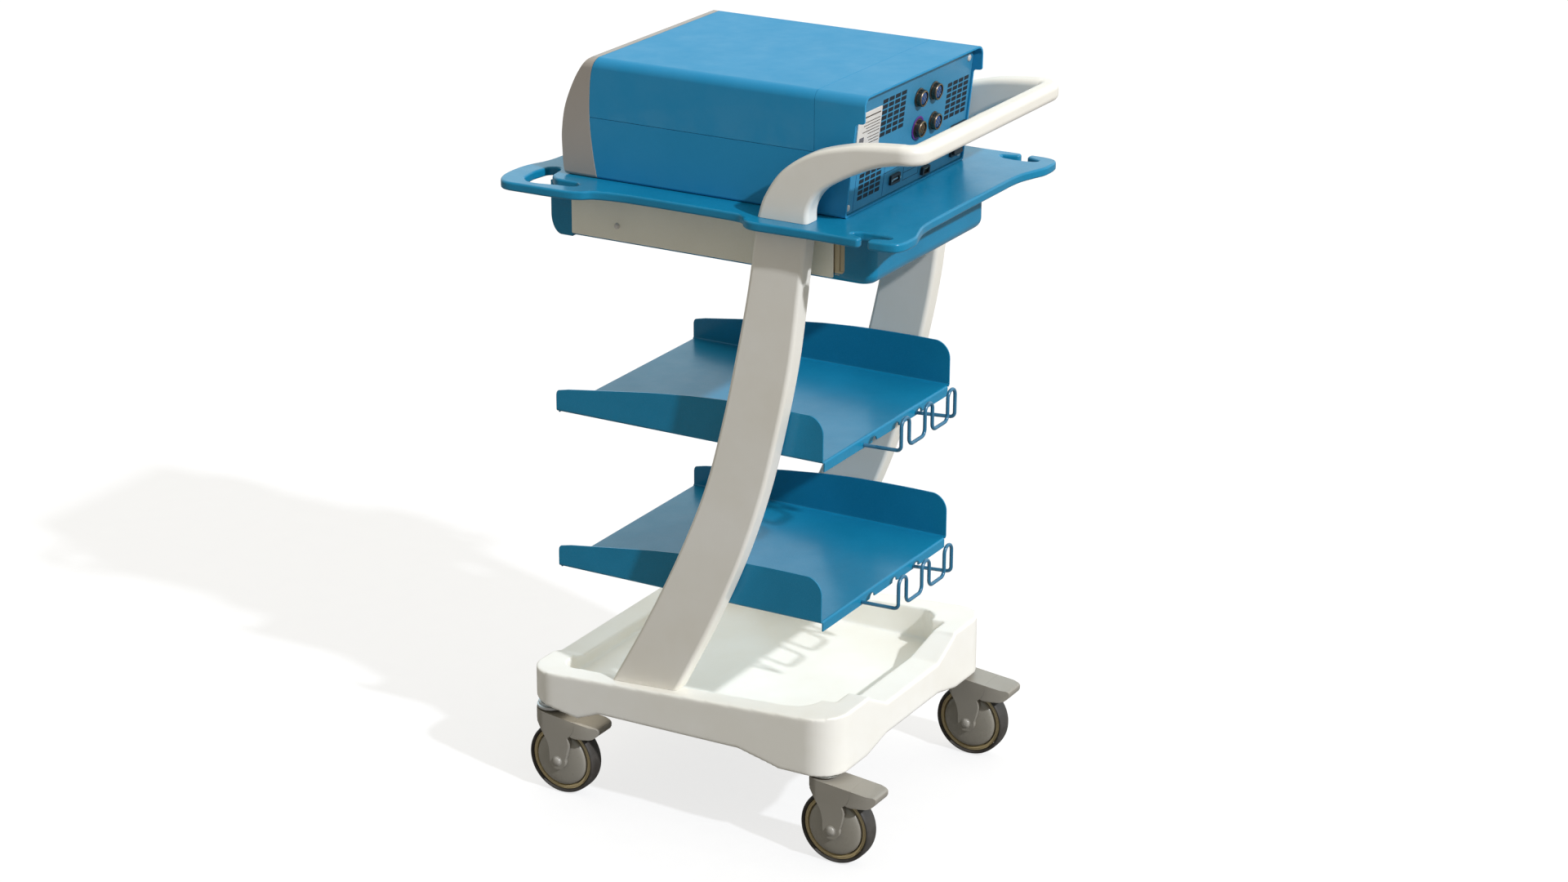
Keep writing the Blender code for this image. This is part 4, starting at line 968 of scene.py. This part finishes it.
# ------------------------------------------------------------------ casters
WHEEL_R = 51.0
STEM_X, STEM_Y = 195.3, {"front": -212.0, "rear": 212.0}
TRAIL = 21.0                            # axle behind the stem
FORK_HALF, FORK_GAP = 22.0, 31.0
PIVOT_Y, PIVOT_Z = 24.0, 108.5          # lever's pivot, from the stem and the floor
# arc that parts the lever from the fork: radius, and angles in degrees
SEAM_R, SEAM_TOP, SEAM_LOW, PEDAL_LOW = 24.0, 13.0, 58.0, 45.0
# turned profiles, columns (radius, height)
CUP_TOP = {
    "front": [(0, 129.9), (17.4, 129.9), (18.4, 129.5), (18.6, 128.8), (18.6, 127.4),
              (18.2, 126.9), (17.2, 126.6), (17.0, 126.2), (17.2, 125.8), (19.4, 125.5),
              (20.3, 124.9)],
    "rear": [(0, 123.2), (15.5, 123.2), (16.0, 122.9), (16.0, 122.7), (19.6, 122.6),
             (20.3, 122.2)]}
CUP_LOWER = [(20.3, 121.7), (19.7, 121.35), (17.6, 121.3), (17.6, 121.1), (18.6, 121.0),
             (18.9, 120.75), (18.5, 120.5), (16, 120.4), (6, 120.4), (6, 108.6), (9.6, 108.6),
             (10, 108), (10, 105), (9.4, 104.4), (0, 104.4)]
AXLE_CAP = [(0, 3.2), (2.2, 3.1), (3.9, 2.7), (5.0, 2.0), (5.7, 1.1), (5.9, 0.5), (7.0, 0.45),
            (7.2, 0.2), (7.2, 0.0), (0, 0)]
HUB_HALF = [(4.6, 14.9), (16, 14.9), (24, 14.5), (30, 13.8), (34.2, 13.0), (36.6, 12.1),
            (38.1, 10.8), (38.9, 9.0), (39.2, 6.6), (39.2, 4.6), (40.0, 4), (44, 4)]
HUB_RING = [(40.1, 7.0), (40.5, 8.9), (41.3, 9.9), (42.6, 10.0), (43.8, 9.2), (44.8, 9.3),
            (45.4, 8.9), (45.6, 8.0), (45.4, 4.4), (40.1, 4.4)]
TYRE_HALF = [(45.8, 3.0), (45.9, 8.4), (46.3, 10.4), (46.9, 11.7), (47.9, 12.5), (48.9, 12.3),
             (49.7, 11.4), (50.3, 10.0), (50.7, 8.0), (50.93, 5.2), (WHEEL_R, 2.4)]


def crown(y):
    """The fork's sloping top, y from the stem."""
    return 120.0 - (y + 15.0) * (5.2 / 51.7)


def both_faces(half):
    return half + [(r, -z) for r, z in reversed(half)]


def volume(obj):
    bm = bmesh.new()
    bm.from_mesh(obj.data)
    size = abs(bm.calc_volume(signed=True))
    bm.free()
    return size


def whole(piece, source):
    """True when a cut piece lies inside its source and holds part of its volume."""
    points = [v.co for v in piece.data.vertices]
    if not points:
        return False
    for i in range(3):
        low, high = [f(v.co[i] for v in source.data.vertices) for f in (min, max)]
        if any(p[i] < low - 1e-5 or p[i] > high + 1e-5 for p in points):
            return False
    full = volume(source)
    return 0.08 * full < volume(piece) < 0.92 * full


class Caster:
    """One caster; outlines are drawn from its stem in y and from the floor in z."""

    def __init__(self, end, side_name, side):
        self.end = end
        self.tag = f"{end}_{side_name}"
        self.x, self.y = side * STEM_X, STEM_Y[end]
        self.wheel_place = shift(self.x, self.y + TRAIL, WHEEL_R) @ turn(pi / 2, "Y")

    def slab(self, outline, half_width, *material, name="cutter"):
        """A (y, z) outline made solid across the caster's middle."""
        moved = [(y + self.y, z) for y, z in outline]
        return plate(name, moved, self.x - half_width, self.x + half_width, YZ, *material)

    def block(self, half_width, y0, y1, z0, z1):
        return box("cutter", (self.x - half_width, self.x + half_width),
                   (self.y + y0, self.y + y1), (z0, z1))

    def build_mount(self):
        """Bearing cup, raceway rings and kingpin."""
        mount = turned(f"caster_cup_{self.tag}", CUP_TOP[self.end] + CUP_LOWER, 56,
                       shift(self.x, self.y, 0), STEEL)
        settle(mount, f"caster_mount_{self.tag}")

    def form(self):
        """Crown, cheeks and lever in one, to be parted along the seam."""
        side = [(-22, crown(-22)), (80, crown(80))] + arc(81.2, crown(84) - 3.2, 2.9, 76, 0, 5)
        side += [(83.9, 102.6), (81.5, 98.4), (77, 94.6), (70, 92.6), (60, 91.0), (51, 90.0),
                 (45, 90.2)]
        side += arc(PIVOT_Y, PIVOT_Z, SEAM_R, -PEDAL_LOW, -SEAM_LOW, 8)
        side += spline_through([(36.9, 87.0), (38.2, 83.6), (38.8, 78.7), (37.6, 71),
                                (35.0, 60)], 6)[:-1]
        side += arc(TRAIL, WHEEL_R, 12.4, 16, -168, 22)
        side += spline_through([(8.6, 52.5), (8.0, 64), (5.6, 75), (1.0, 84), (-4.0, 91),
                                (-8.6, 97), (-13.5, 101), (-22, 104)], 5)[1:]
        side = [(y, min(z, crown(y))) for y, z in side]
        form = self.slab(side, FORK_HALF, GREY, name="form")
        # plan: front turned round the stem, corners of the lever's tip cut off
        half = FORK_HALF
        plan = [(half - 6.6, 90.5), (half + 2, 66.5), (half + 2, 0), (half, 0)]
        plan += [(half * cos(radians(a)), 20.5 * sin(radians(a))) for a in range(-6, -175, -6)]
        plan += [(-half, 0), (-half - 2, 0), (-half - 2, 66.5), (-half + 6.6, 90.5)]
        keep = cutter([(x + self.x, y + self.y) for x, y in plan], 0, 160, XY)
        return rounded(combine(form, keep, operation="INTERSECT"), 1.2, 3, 36)

    def beyond(self, radius):
        """Everything on the lever's side of the seam."""
        seam = arc(PIVOT_Y, PIVOT_Z, radius, -50, SEAM_TOP, 26)
        far = (PIVOT_Y + 52 * cos(radians(-50)), PIVOT_Z + 52 * sin(radians(-50)))
        return self.slab(seam + [(seam[-1][0], 140), (130, 140), (130, 60), far], 40)

    def parted(self, form, radius, operation):
        """One side of the seam, nudged slightly until the boolean gives a whole piece."""
        for nudge in (0.0, 0.013, -0.017, 0.031, -0.037, 0.053, -0.059):
            piece = form.copy()
            piece.data = form.data.copy()
            SCENE.collection.objects.link(piece)
            piece = combine(piece, self.beyond(radius + nudge), operation=operation)
            if whole(piece, form):
                return piece
            bpy.data.objects.remove(piece, do_unlink=True)
        raise ValueError(f"the caster form {self.tag} can't be parted")

    def build_fork(self, fork):
        fork.name = f"caster_fork_{self.tag}_body"
        wheel_slot = self.block(FORK_GAP / 2, -40, 60, 20, 104)
        tongue_slot = self.block(12.5, 17.5, 60, 100, 112.1)
        fork = combine(fork, wheel_slot, tongue_slot)
        bores = [rod("cutter", radius, (self.x, self.y, 90), (self.x, self.y, top), 32)
                 for radius, top in ((6.5, 130), (10.8, 109))]
        fork = combine(fork, *bores)
        settle(crisp(fork, 36), f"caster_fork_{self.tag}", f"fork_{self.tag}")

    def build_axle(self):
        y, reach = self.y + TRAIL, FORK_HALF + 0.2
        bits = [rod("core", 4.0, (self.x - reach, y, WHEEL_R), (self.x + reach, y, WHEEL_R),
                    28, CAPS)]
        for side in (1, -1):
            place = (shift(self.x + side * (FORK_HALF + 0.15), y, WHEEL_R)
                     @ turn(side * pi / 2, "Y"))
            bits.append(turned("cap", AXLE_CAP, 32, place, CAPS))
        settle(joined(f"axle_{self.tag}_bolt", bits), f"axle_{self.tag}",
               f"fork_{self.tag}")

    def build_wheel(self):
        """Domed hub with a cream ring on each face, then the tyre."""
        wheel, place = f"wheel_{self.tag}", self.wheel_place
        pieces = [turned("core", both_faces(HUB_HALF), 72, place, HUB, closed=True)]
        for side in (1, -1):
            ring = [(r, side * z) for r, z in HUB_RING]
            pieces.append(turned("ring", ring, 72, place, RING, closed=True))
        settle(joined(f"wheel_hub_{self.tag}_cover", pieces),
               f"wheel_hub_{self.tag}", wheel)
        tyre = turned(f"tyre_{self.tag}_tread", both_faces(TYRE_HALF), 96, place, TYRE,
                      closed=True)
        settle(tyre, f"tyre_{self.tag}", wheel)

    def build_pedal(self, pedal):
        """Brake lever: hollow below, with a tongue reaching back to the pivot."""
        pedal.name = f"brake_pedal_{self.tag}_lever"
        pedal = combine(pedal, self.block(16.2, 20, 68, 60, 105.5))
        tongue = arc(PIVOT_Y, 108.6, 2.9, 270, 90, 8) + [(54, 111.5), (54, 105.7)]
        pedal = combine(pedal, self.slab(tongue, 12), operation="UNION")
        settle(crisp(pedal, 36), f"brake_pedal_{self.tag}", f"pedal_{self.tag}")

    def build(self):
        self.build_mount()
        form = self.form()
        fork = self.parted(form, SEAM_R, "DIFFERENCE")
        pedal = self.parted(form, SEAM_R + 0.2, "INTERSECT")
        bpy.data.objects.remove(form, do_unlink=True)
        self.build_fork(fork)
        self.build_axle()
        self.build_wheel()
        self.build_pedal(pedal)


# ------------------------------------------------------------------ console
CONSOLE_X, CONSOLE_Z0, CONSOLE_Z1 = 162.0, 863.6, 1021.5
SPLIT_Y, SPLIT_Z = 169.0, 943.5         # where the cover parts from the chassis
WALL = 2.6
# the bezel's rear and front edges, columns (y, z)
BEZEL_SEAM = [(-150.0, CONSOLE_Z0), (-154.8, 890), (-158.5, 918), (-160.5, 944), (-160.1, 973),
              (-157.8, 1000), (-152.0, CONSOLE_Z1)]
NOSE = [(-195, CONSOLE_Z0), (-200, 870), (-202.5, 905), (-202, 925), (-198.2, 950),
        (-191, 972), (-181, 994), (-171.5, 1009.5), (-165.5, 1017.8), (-160.5, CONSOLE_Z1)]
BEZEL_HOLLOW = [(-190, 870), (-196, 900), (-194, 930), (-184, 962), (-168, 996), (-140, 1014),
                (-130, 1014), (-130, 870)]
DISPLAY_AT = shift(-25, -197.6, 932) @ turn(radians(-9), "X")
KNOB_AT = shift(105, -201.4, 940) @ turn(radians(82), "X")
BUTTON_AT = shift(105, -197, 905) @ turn(radians(90), "X")
# turned profiles, columns (radius, height)
KNOB = [(0, 12.0), (9.5, 12.0), (11.3, 11.5), (12.4, 10.4), (13.2, 6), (14.0, 1.6), (14.2, 0.3),
        (3, 0.2), (3, -8), (0, -8)]
BUTTON = [(0, 8.1), (3, 8.2), (5.4, 8.45), (6.3, 8.2), (6.85, 7.4), (7, 6.4), (7, 0), (0, 0)]


def rectangle(half_width, half_height, corner, steps=6):
    w, h = half_width, half_height
    return filleted([(-w, -h, corner), (w, -h, corner), (w, h, corner), (-w, h, corner)], steps)


def build_bezel():
    seam = [(y - 0.25, z) for y, z in spline_through(BEZEL_SEAM, 8)]
    x = CONSOLE_X + 0.8
    bezel = plate("console_bezel_moulding", spline_through(NOSE, 6) + seam[::-1], -x, x, YZ,
                  TAUPE)
    hollow = cutter(BEZEL_HOLLOW, -CONSOLE_X + 4, CONSOLE_X - 4, YZ)
    keep = cutter(filleted([(x, CONSOLE_Z0 - 0.2, 5), (x, CONSOLE_Z1, 13.5),
                            (-x, CONSOLE_Z1, 13.5), (-x, CONSOLE_Z0 - 0.2, 5)], 12),
                  -260, -100, XZ)
    bezel = combine(bezel, keep, operation="INTERSECT")
    bezel = combine(bezel, hollow)
    pocket = placed(cutter(rectangle(92, 36, 4), -14, 1.2, XZ), DISPLAY_AT)
    shafts = [placed(rod("cutter", radius, (0, 0, -12), (0, 0, 15), 40), place)
              for place, radius in ((KNOB_AT, 3.5), (BUTTON_AT, 7.5))]
    bezel = combine(bezel, pocket, *shafts)
    settle(soften(bezel, 1.8, 3, 38), "console_bezel")


def build_controls():
    """Display window, knob with its grips and pointer, and push button."""
    window = plate("display_window", rectangle(91.4, 35.4, 3.6), -2.6, 0.7, XZ, GLASS,
                   edge=0.5, resolution=2)
    settle(weighted(placed(window, DISPLAY_AT)), "display_glass")
    bits = [turned("core", KNOB, 64, KNOB_AT, GREY)]
    for k in range(20):
        grip = soften(box("grip", (12.5, 13.9), (-0.8, 0.8), (1.6, 9.6), GREY), 0.5)
        bits.append(placed(grip, KNOB_AT @ turn(tau * k / 20, "Z")))
    bits.append(placed(box("mark", (4.5, 10.8), (-0.6, 0.6), (11.9, 12.25), LABEL),
                       KNOB_AT @ turn(radians(40), "Z")))
    settle(joined("control_knob_cap", bits), "control_knob", "knob")
    button = turned("start_button_cap", BUTTON, 48, BUTTON_AT, TAUPE)
    settle(button, "start_button", "button")


def shell_section(inset=0.0):
    x, bottom, top = CONSOLE_X - inset, CONSOLE_Z0 + inset, CONSOLE_Z1 - inset
    corner = 13 - inset * 0.7
    return filleted([(x, bottom, 3.5), (x, top, corner), (-x, top, corner),
                     (-x, bottom, 3.5)], 12)


def shell_part(name, region):
    """The part of the console's hollow shell inside a (y, z) region."""
    shell = plate(name, shell_section(), -175, 240, XZ, CONSOLE_BLUE)
    hollow = cutter(shell_section(WALL), -200, 260, XZ)
    keep = cutter(region, -200, 200, YZ)
    shell = combine(shell, hollow)
    return soften(combine(shell, keep, operation="INTERSECT"), 0.45)


def build_shell():
    seam = spline_through(BEZEL_SEAM, 8)
    lower, upper = SPLIT_Z - 0.25, SPLIT_Z + 0.25
    chassis = [p for p in seam if p[1] < SPLIT_Z - 1]
    chassis += [(-160.45, lower), (SPLIT_Y, lower), (SPLIT_Y, 1040), (240, 1040)]
    chassis += arc(236.4, 990.6, 3.0, 0, -80, 6)
    chassis += [(panel_y(988) + 4.6, 986.8), (panel_y(988) + 2.2, 984.5),
                (panel_y(CONSOLE_Z0) + 2.2, CONSOLE_Z0 - 5), (-149.7, CONSOLE_Z0 - 5)]
    settle(shell_part("console_chassis_shell", chassis), "console_chassis")
    cover = [(-160.45, upper)] + [p for p in seam if p[1] > SPLIT_Z + 1]
    cover += [(-151.5, 1040), (SPLIT_Y - 0.5, 1040), (SPLIT_Y - 0.5, upper)]
    settle(shell_part("console_cover_shell", cover), "console_cover")


# ------------------------------------------------------------------ rear panel
PANEL_SLOPE, PANEL_Y, PANEL_GAP = 0.11, 211.0, 0.6
LEAN = atan(PANEL_SLOPE)
PANEL_Z = CONSOLE_Z0 + WALL + PANEL_GAP
# vent grids, columns (x0, x1, z0, z1)
VENTS = ((23, 89, 950.5, 1001.5), (-154, -92, 931.5, 982.5), (70, 131, 877.5, 928.5))
VENT_COLUMNS, VENT_ROWS = 4, 7
# scribed lines, columns (x0, z0, x1, z1, material)
LINES = (
    (8, 876, -34, 876, DARK), (8, 876, 8, 894, DARK), (-34, 876, -34, 886, DARK),
    (8, 886, -34, 886, DARK), (62, 868, 62, 936, SOCKET_BLUE), (62, 936, 139, 936, SOCKET_BLUE),
    (139, 936, 139, 868, SOCKET_BLUE), (64, 898, 18, 898, DARK))
# bars on the rating plate, columns (x, distance down, width, height, material)
BARS = (
    (-2, -19, 50, 1.6, BARREL), (-8, -12, 38, 1.0, BARREL), (-6, -8, 42, 1.0, BARREL),
    (-9, -4, 36, 1.0, BARREL), (-5, 0, 44, 1.0, BARREL), (-12, 4, 30, 1.0, BARREL),
    (18, 12, 12, 12, INK), (-12, 9, 30, 1.0, BARREL), (-14, 13, 26, 1.0, BARREL),
    (-12, 17, 30, 1.0, BARREL))
# places on the panel, columns (x, z)
SOCKETS = ((-12, 982), (-53, 982), (-18, 940), (-61, 940))
PURPLE_SOCKET = 3
PANEL_SCREWS = ((153, 875), (-147, 1005), (-150, 875), (-80, 912), (147, 1005))
RATING_PLATE, SWITCH = (119.5, 969), (-137, 885)
# turned profiles, columns (radius, height)
FLANGE_DISC = [(0, 1.4), (11.8, 1.4), (12.4, 1.0), (12.6, 0.2), (12.4, 0), (0, 0)]
SOCKET_BARREL = [(9.0, 1.2), (10.4, 1.3), (10.5, 5.0), (10.9, 5.3), (11.2, 6.0), (11.0, 7.4),
                 (10.4, 8.1), (9.5, 8.2), (8.9, 7.6), (8.8, 3.0), (0, 3.0), (0, 1.2)]
SOCKET_INSERT = [(0, 7.4), (7.0, 7.4), (7.7, 7.0), (7.9, 6.2), (7.9, 3.0), (0, 3.0)]
SOCKET_TRIM = [(9.0, 8.25), (9.9, 8.35), (10.3, 8.0), (9.9, 7.6), (9.1, 7.6)]
SOCKET_HALO = [(12.8, 0.2), (15.6, 0.2), (15.9, 0.6), (15.2, 1.0), (13.4, 1.0), (12.8, 0.7)]
SCREW_HEAD = [(0, 2.0), (1.6, 2.0), (3.2, 1.7), (4.2, 1.0), (4.6, 0.2), (4.5, 0), (0, 0)]
# the rocker's side, columns (local y, height)
ROCKER = [(-6.0, 1.3), (6.0, 1.3), (6.0, 4.9), (4.5, 4.55), (2.2, 4.1), (0, 3.9), (-2.2, 4.1),
          (-4.5, 4.55), (-6.0, 4.9)]


def panel_y(z):
    return PANEL_Y + PANEL_SLOPE * (z - CONSOLE_Z0)


def facing(x, z, out=0.3):
    """A place on the panel's face, local +Z out of the panel and local +Y down."""
    return (shift(x, panel_y(z), z) @ turn(-LEAN, "X") @ turn(-pi / 2, "X")
            @ Matrix.Translation((0, 0, out * MM)))


def up_panel(z):
    """Distance up the leaning panel to height z."""
    return (z - PANEL_Z) / cos(LEAN)


def vent_holes(x0, x1, z0, z1):
    width, height = (x1 - x0) / VENT_COLUMNS, (z1 - z0) / VENT_ROWS / cos(LEAN)
    holes = []
    for c in range(VENT_COLUMNS):
        for r in range(VENT_ROWS):
            left, right = x0 + c * width + width * 0.07, x0 + (c + 1) * width - width * 0.07
            low = up_panel(z0) + r * height + height * 0.12
            high = up_panel(z0) + (r + 1) * height - height * 0.12
            holes.append(filleted([(left, low, 1.0), (right, low, 1.0), (right, high, 1.0),
                                   (left, high, 1.0)], 3))
    return holes


def build_panel_sheet():
    place = shift(0, panel_y(PANEL_Z), PANEL_Z) @ turn(-LEAN, "X")
    height = (CONSOLE_Z1 - CONSOLE_Z0 - 2 * WALL - 2 * PANEL_GAP) / cos(LEAN)
    x = CONSOLE_X - WALL - PANEL_GAP
    outline = filleted([(x, 0, 3), (x, height, 10), (-x, height, 10), (-x, 0, 3)])
    holes = [hole for vent in VENTS for hole in vent_holes(*vent)]
    panel = plate("console_rear_panel_sheet", outline, -2.0, 0.0, XZ, PANEL, holes=holes)
    settle(soften(placed(panel, place), 0.25, 1), "console_rear_panel")
    # dark sheet behind each vent: painted shade for the dark inside seen through the slots
    for i, (x0, x1, z0, z1) in enumerate(VENTS, 1):
        shade_sheet = box(f"vent_shade_sheet_{i}", (x0 - 3, x1 + 3), (-3.1, -0.35),
                     (up_panel(z0) - 3, up_panel(z1) + 3), DARK)
        settle(soften(placed(shade_sheet, place), 0.2, 1))


def scribed_line(x0, z0, x1, z1, material):
    a, b = facing(x0, z0, 0.08).translation, facing(x1, z1, 0.08).translation
    along = b - a
    normal = facing(x0, z0, 0.0).to_3x3() @ Vector((0, 0, 1))
    u = along.normalized()
    place = Matrix((u, normal.cross(u), normal)).transposed().to_4x4()
    place.translation = (a + b) / 2
    half = along.length / MM / 2
    return placed(box("line", (-half, half), (-0.25, 0.25), (-0.1, 0.12), material), place)


def build_markings():
    lines = [scribed_line(*line) for line in LINES]
    settle(joined("panel_scribed_lines", lines))
    place = facing(*RATING_PLATE, 0.0)
    bits = [placed(plate("label", rectangle(30.5, 26, 2, 4)[0:], 0.05, 0.55, XY, LABEL,
                         edge=0.15, resolution=1), place)]
    for x, y, width, height, material in BARS:
        bar = box("bar", (x - width / 2, x + width / 2), (y - height / 2, y + height / 2),
                  (0.5, 0.62), material)
        bits.append(placed(bar, place))
    settle(joined("rating_plate_blank", bits))


def build_socket(number, x, z):
    """Round signal socket: flange, knurled barrel, insert, brass trim and seven pins."""
    place = facing(x, z)
    purple = number == PURPLE_SOCKET
    pin_metal = BRASS if purple else STEEL
    bits = [turned("flange", FLANGE_DISC, 40, place, BARREL),
            turned("barrel", SOCKET_BARREL, 48, place, BARREL),
            turned("insert", SOCKET_INSERT, 40, place, BARREL if purple else SOCKET_BLUE),
            turned("trim", SOCKET_TRIM, 48, place, BRASS, closed=True)]
    for k in range(12):
        bits.append(placed(box("knurl", (10.2, 11.1), (-1.3, 1.3), (2.0, 4.6), BARREL),
                           place @ turn(tau * k / 12, "Z")))
    for k in range(6):
        bits.append(placed(rod("pin", 0.85, (4.4, 0, 7.2), (4.4, 0, 8.2), 12, pin_metal),
                           place @ turn(tau * (k + 0.25) / 6, "Z")))
    bits.append(placed(rod("pin", 0.85, (0, 0, 7.2), (0, 0, 8.2), 12, pin_metal), place))
    node = f"signal_socket_{number}"
    settle(joined(node + "_shell", bits), node)
    if purple:
        halo = turned("socket_colour_ring", SOCKET_HALO, 48, place, PURPLE, closed=True)
        settle(halo)


def build_module(node, x, z, size, hole, extras=()):
    """Black block with a rectangular recess; size and hole are (width, height, depth)."""
    place = facing(x, z)
    w, h, depth = size[0] / 2, size[1] / 2, size[2]
    outline = filleted([(w, -h, 1.6), (w, h, 1.6), (-w, h, 1.6), (-w, -h, 1.6)], 5)
    body = placed(plate(node, outline, 0, depth, XY, BLACK), place)
    w, h = hole[0] / 2, hole[1] / 2
    recess = placed(box("cutter", (-w, w), (-h, h), (depth - hole[2], depth + 5)), place)
    bits = [soften(combine(body, recess), 0.5)] + [placed(extra, place) for extra in extras]
    settle(joined(node + "_module", bits), node)


def build_modules():
    blades = [box("blade", (x - 1, x + 1), (y - 2.6, y + 2.6), (1.4, 4.6), BRASS)
              for x, y in ((-7, 1.5), (0, -1.8), (7, 1.5))]
    build_module("power_inlet", -137, 909, (40, 22, 5), (26, 13, 3.6), blades)
    tongue = box("tongue", (-7, 7), (-1.0, 1.0), (0.8, 2.4), STEEL)
    nuts = [rod("nut", 1.7, (x, 0, 2.8), (x, 0, 3.9), 6, STEEL) for x in (-11.2, 11.2)]
    build_module("data_port", 33, 885, (26, 13, 3), (18, 6.5, 2.2), [tongue, *nuts])
    contacts = box("contacts", (-4.6, 4.6), (-3.2, -1.9), (1.0, 3.2), BRASS)
    build_module("network_port", -52, 876, (20, 11, 4), (14, 7, 3), [contacts])
    build_module("switch_frame", *SWITCH, (30, 19, 3.6), (24.6, 13.4, 3.0))


def build_rocker():
    tilt = (facing(*SWITCH) @ shift(0, 0, 2.6) @ turn(radians(6), "X") @ shift(0, 0, -1.0))
    rocker = soften(placed(plate("rocker", ROCKER, -11.8, 11.8, YZ, BLACK), tilt), 0.5)
    dot = placed(box("dot", (-0.5, 0.5), (-4.6, -2.4), (4.3, 4.75), LABEL), tilt)
    settle(joined("power_switch_cap", [rocker, dot]), "power_switch", "rocker")


def build_panel_screws():
    for i, (x, z) in enumerate(PANEL_SCREWS, 1):
        place = facing(x, z, 0.1)
        head = turned(f"panel_screw_{i}", SCREW_HEAD, 32, place, SCREW)
        slots = [placed(box("cutter", (-2.6, 2.6), (-0.4, 0.4), (1.6, 2.6)),
                        place @ turn(radians(35 * i + quarter), "Z")) for quarter in (0, 90)]
        settle(combine(head, *slots))


# ------------------------------------------------------------------ stage
CAMERA_AZIMUTH, CAMERA_ELEVATION, CAMERA_ROLL = (radians(a) for a in (119.4215, 19.984, 0.339))
CAMERA_PLACE = (3.88195, 2.22656 - ORIGIN_Y * MM, 2.10829)      # metres
# area lights facing down: name, size (m), energy (W) and place (mm)
CARDS = (("deck_card", (0.33, 0.37), 0.27, (0, -8, 304)),
         ("right_card", (0.06, 0.05), 0.0085, (198, -155, 121.5)),
         ("left_card", (0.06, 0.05), 0.0085, (-198, -155, 121.5)))


def build_floor():
    m = Material("pale_floor")
    grain = m.noise(scale=30.0)
    material = m.surface({
        "Base Color": m.mix(m.ramp(grain, over=(0.3, 0.7)),
                            (0.255, 0.255, 0.255), (0.265, 0.265, 0.265)),
        "Roughness": 0.95,
        "Specular IOR Level": 0.0,
        "Emission Color": (1.0, 1.0, 1.0, 1.0),
        # the glow shows only to the camera
        "Emission Strength": m.multiply(m.add("LightPath").outputs["Is Camera Ray"], 0.74)})
    bm = bmesh.new()
    bmesh.ops.create_grid(bm, x_segments=2, y_segments=2, size=30)
    from_bmesh("floor", bm, material)


def build_world():
    """Soft room light, brighter towards -X, cooler in reflections and white to the camera."""
    world = bpy.data.worlds.new("studio")
    SCENE.world = world
    world.use_nodes = True
    w = Nodes(world.node_tree)
    toward_bright = Vector((-0.97, -0.05, 0.20)).normalized()
    wall = w.add("VectorMath", {0: w.add("TexCoord").outputs["Generated"], 1: toward_bright},
                 operation="DOT_PRODUCT").outputs["Value"]
    strength = w.ramp(wall, over=(-0.55, 0.45), to=(0.31, 1.0))
    rays = w.add("LightPath").outputs
    seen = rays["Is Camera Ray"]
    background = world.node_tree.nodes["Background"].inputs
    pick = w.add("Mix", {"Factor": seen, "A": strength, "B": 1.0}, data_type="FLOAT")
    w.feed(background["Strength"], pick.outputs["Result"])
    tint = w.mix(rays["Is Glossy Ray"], (1.0, 0.955, 0.84), (0.90, 1.10, 1.22))
    w.feed(background["Color"], w.mix(seen, tint, (1.0, 1.0, 1.0)))


def build_lights():
    sun = bpy.data.lights.new("key", "SUN")
    sun.energy = 2.95
    sun.angle = radians(2.0)
    sun.color = (0.90, 0.93, 1.0)
    toward_sun = Vector((0.22, 0.78, 0.60))
    new_object("key", sun).rotation_euler = toward_sun.to_track_quat("Z", "Y").to_euler()
    # the cards soften shadows below the lower shelf and over the front casters' levers
    for name, size, watts, place in CARDS:
        card = bpy.data.lights.new(name, "AREA")
        card.shape = "RECTANGLE"
        card.size, card.size_y = size
        card.energy = watts
        card.color = (1.0, 0.95, 0.86)
        bounce = new_object(name, card)
        bounce.location = TO_ORIGIN @ (Vector(place) * MM)
        bounce.visible_camera = bounce.visible_glossy = False


def build_camera():
    lens = bpy.data.cameras.new("camera")
    lens.sensor_fit = "HORIZONTAL"
    lens.sensor_width = 36.0
    lens.lens = 81.42
    lens.clip_end = 100
    camera = new_object("camera", lens)
    back = Vector((sin(CAMERA_AZIMUTH) * cos(CAMERA_ELEVATION),
                   -cos(CAMERA_AZIMUTH) * cos(CAMERA_ELEVATION), sin(CAMERA_ELEVATION)))
    right = Vector((0, 0, 1)).cross(back).normalized()
    up = back.cross(right)
    rolled_right = right * cos(CAMERA_ROLL) + up * sin(CAMERA_ROLL)
    rolled_up = -right * sin(CAMERA_ROLL) + up * cos(CAMERA_ROLL)
    place = Matrix((rolled_right, rolled_up, back)).transposed().to_4x4()
    place.translation = Vector(CAMERA_PLACE)
    camera.matrix_world = place
    SCENE.camera = camera
    SCENE.view_settings.view_transform = "Standard"
    SCENE.view_settings.look = "None"


build_base()
build_posts()
build_handle()
build_tray()
for level, deck_z in SHELF_Z.items():
    build_shelf(f"{level}_shelf", deck_z)
    build_rack(f"{level}_hook_rack", deck_z)
build_tub()
build_side_brackets()
build_side_covers()
build_drawer()
build_slides()
for end_name in STEM_Y:
    for side_name, side_sign in SIDES:
        Caster(end_name, side_name, side_sign).build()
build_bezel()
build_controls()
build_shell()
build_panel_sheet()
build_markings()
for index, (socket_x, socket_z) in enumerate(SOCKETS, 1):
    build_socket(index, socket_x, socket_z)
build_modules()
build_rocker()
build_panel_screws()
build_floor()
build_world()
build_lights()
build_camera()
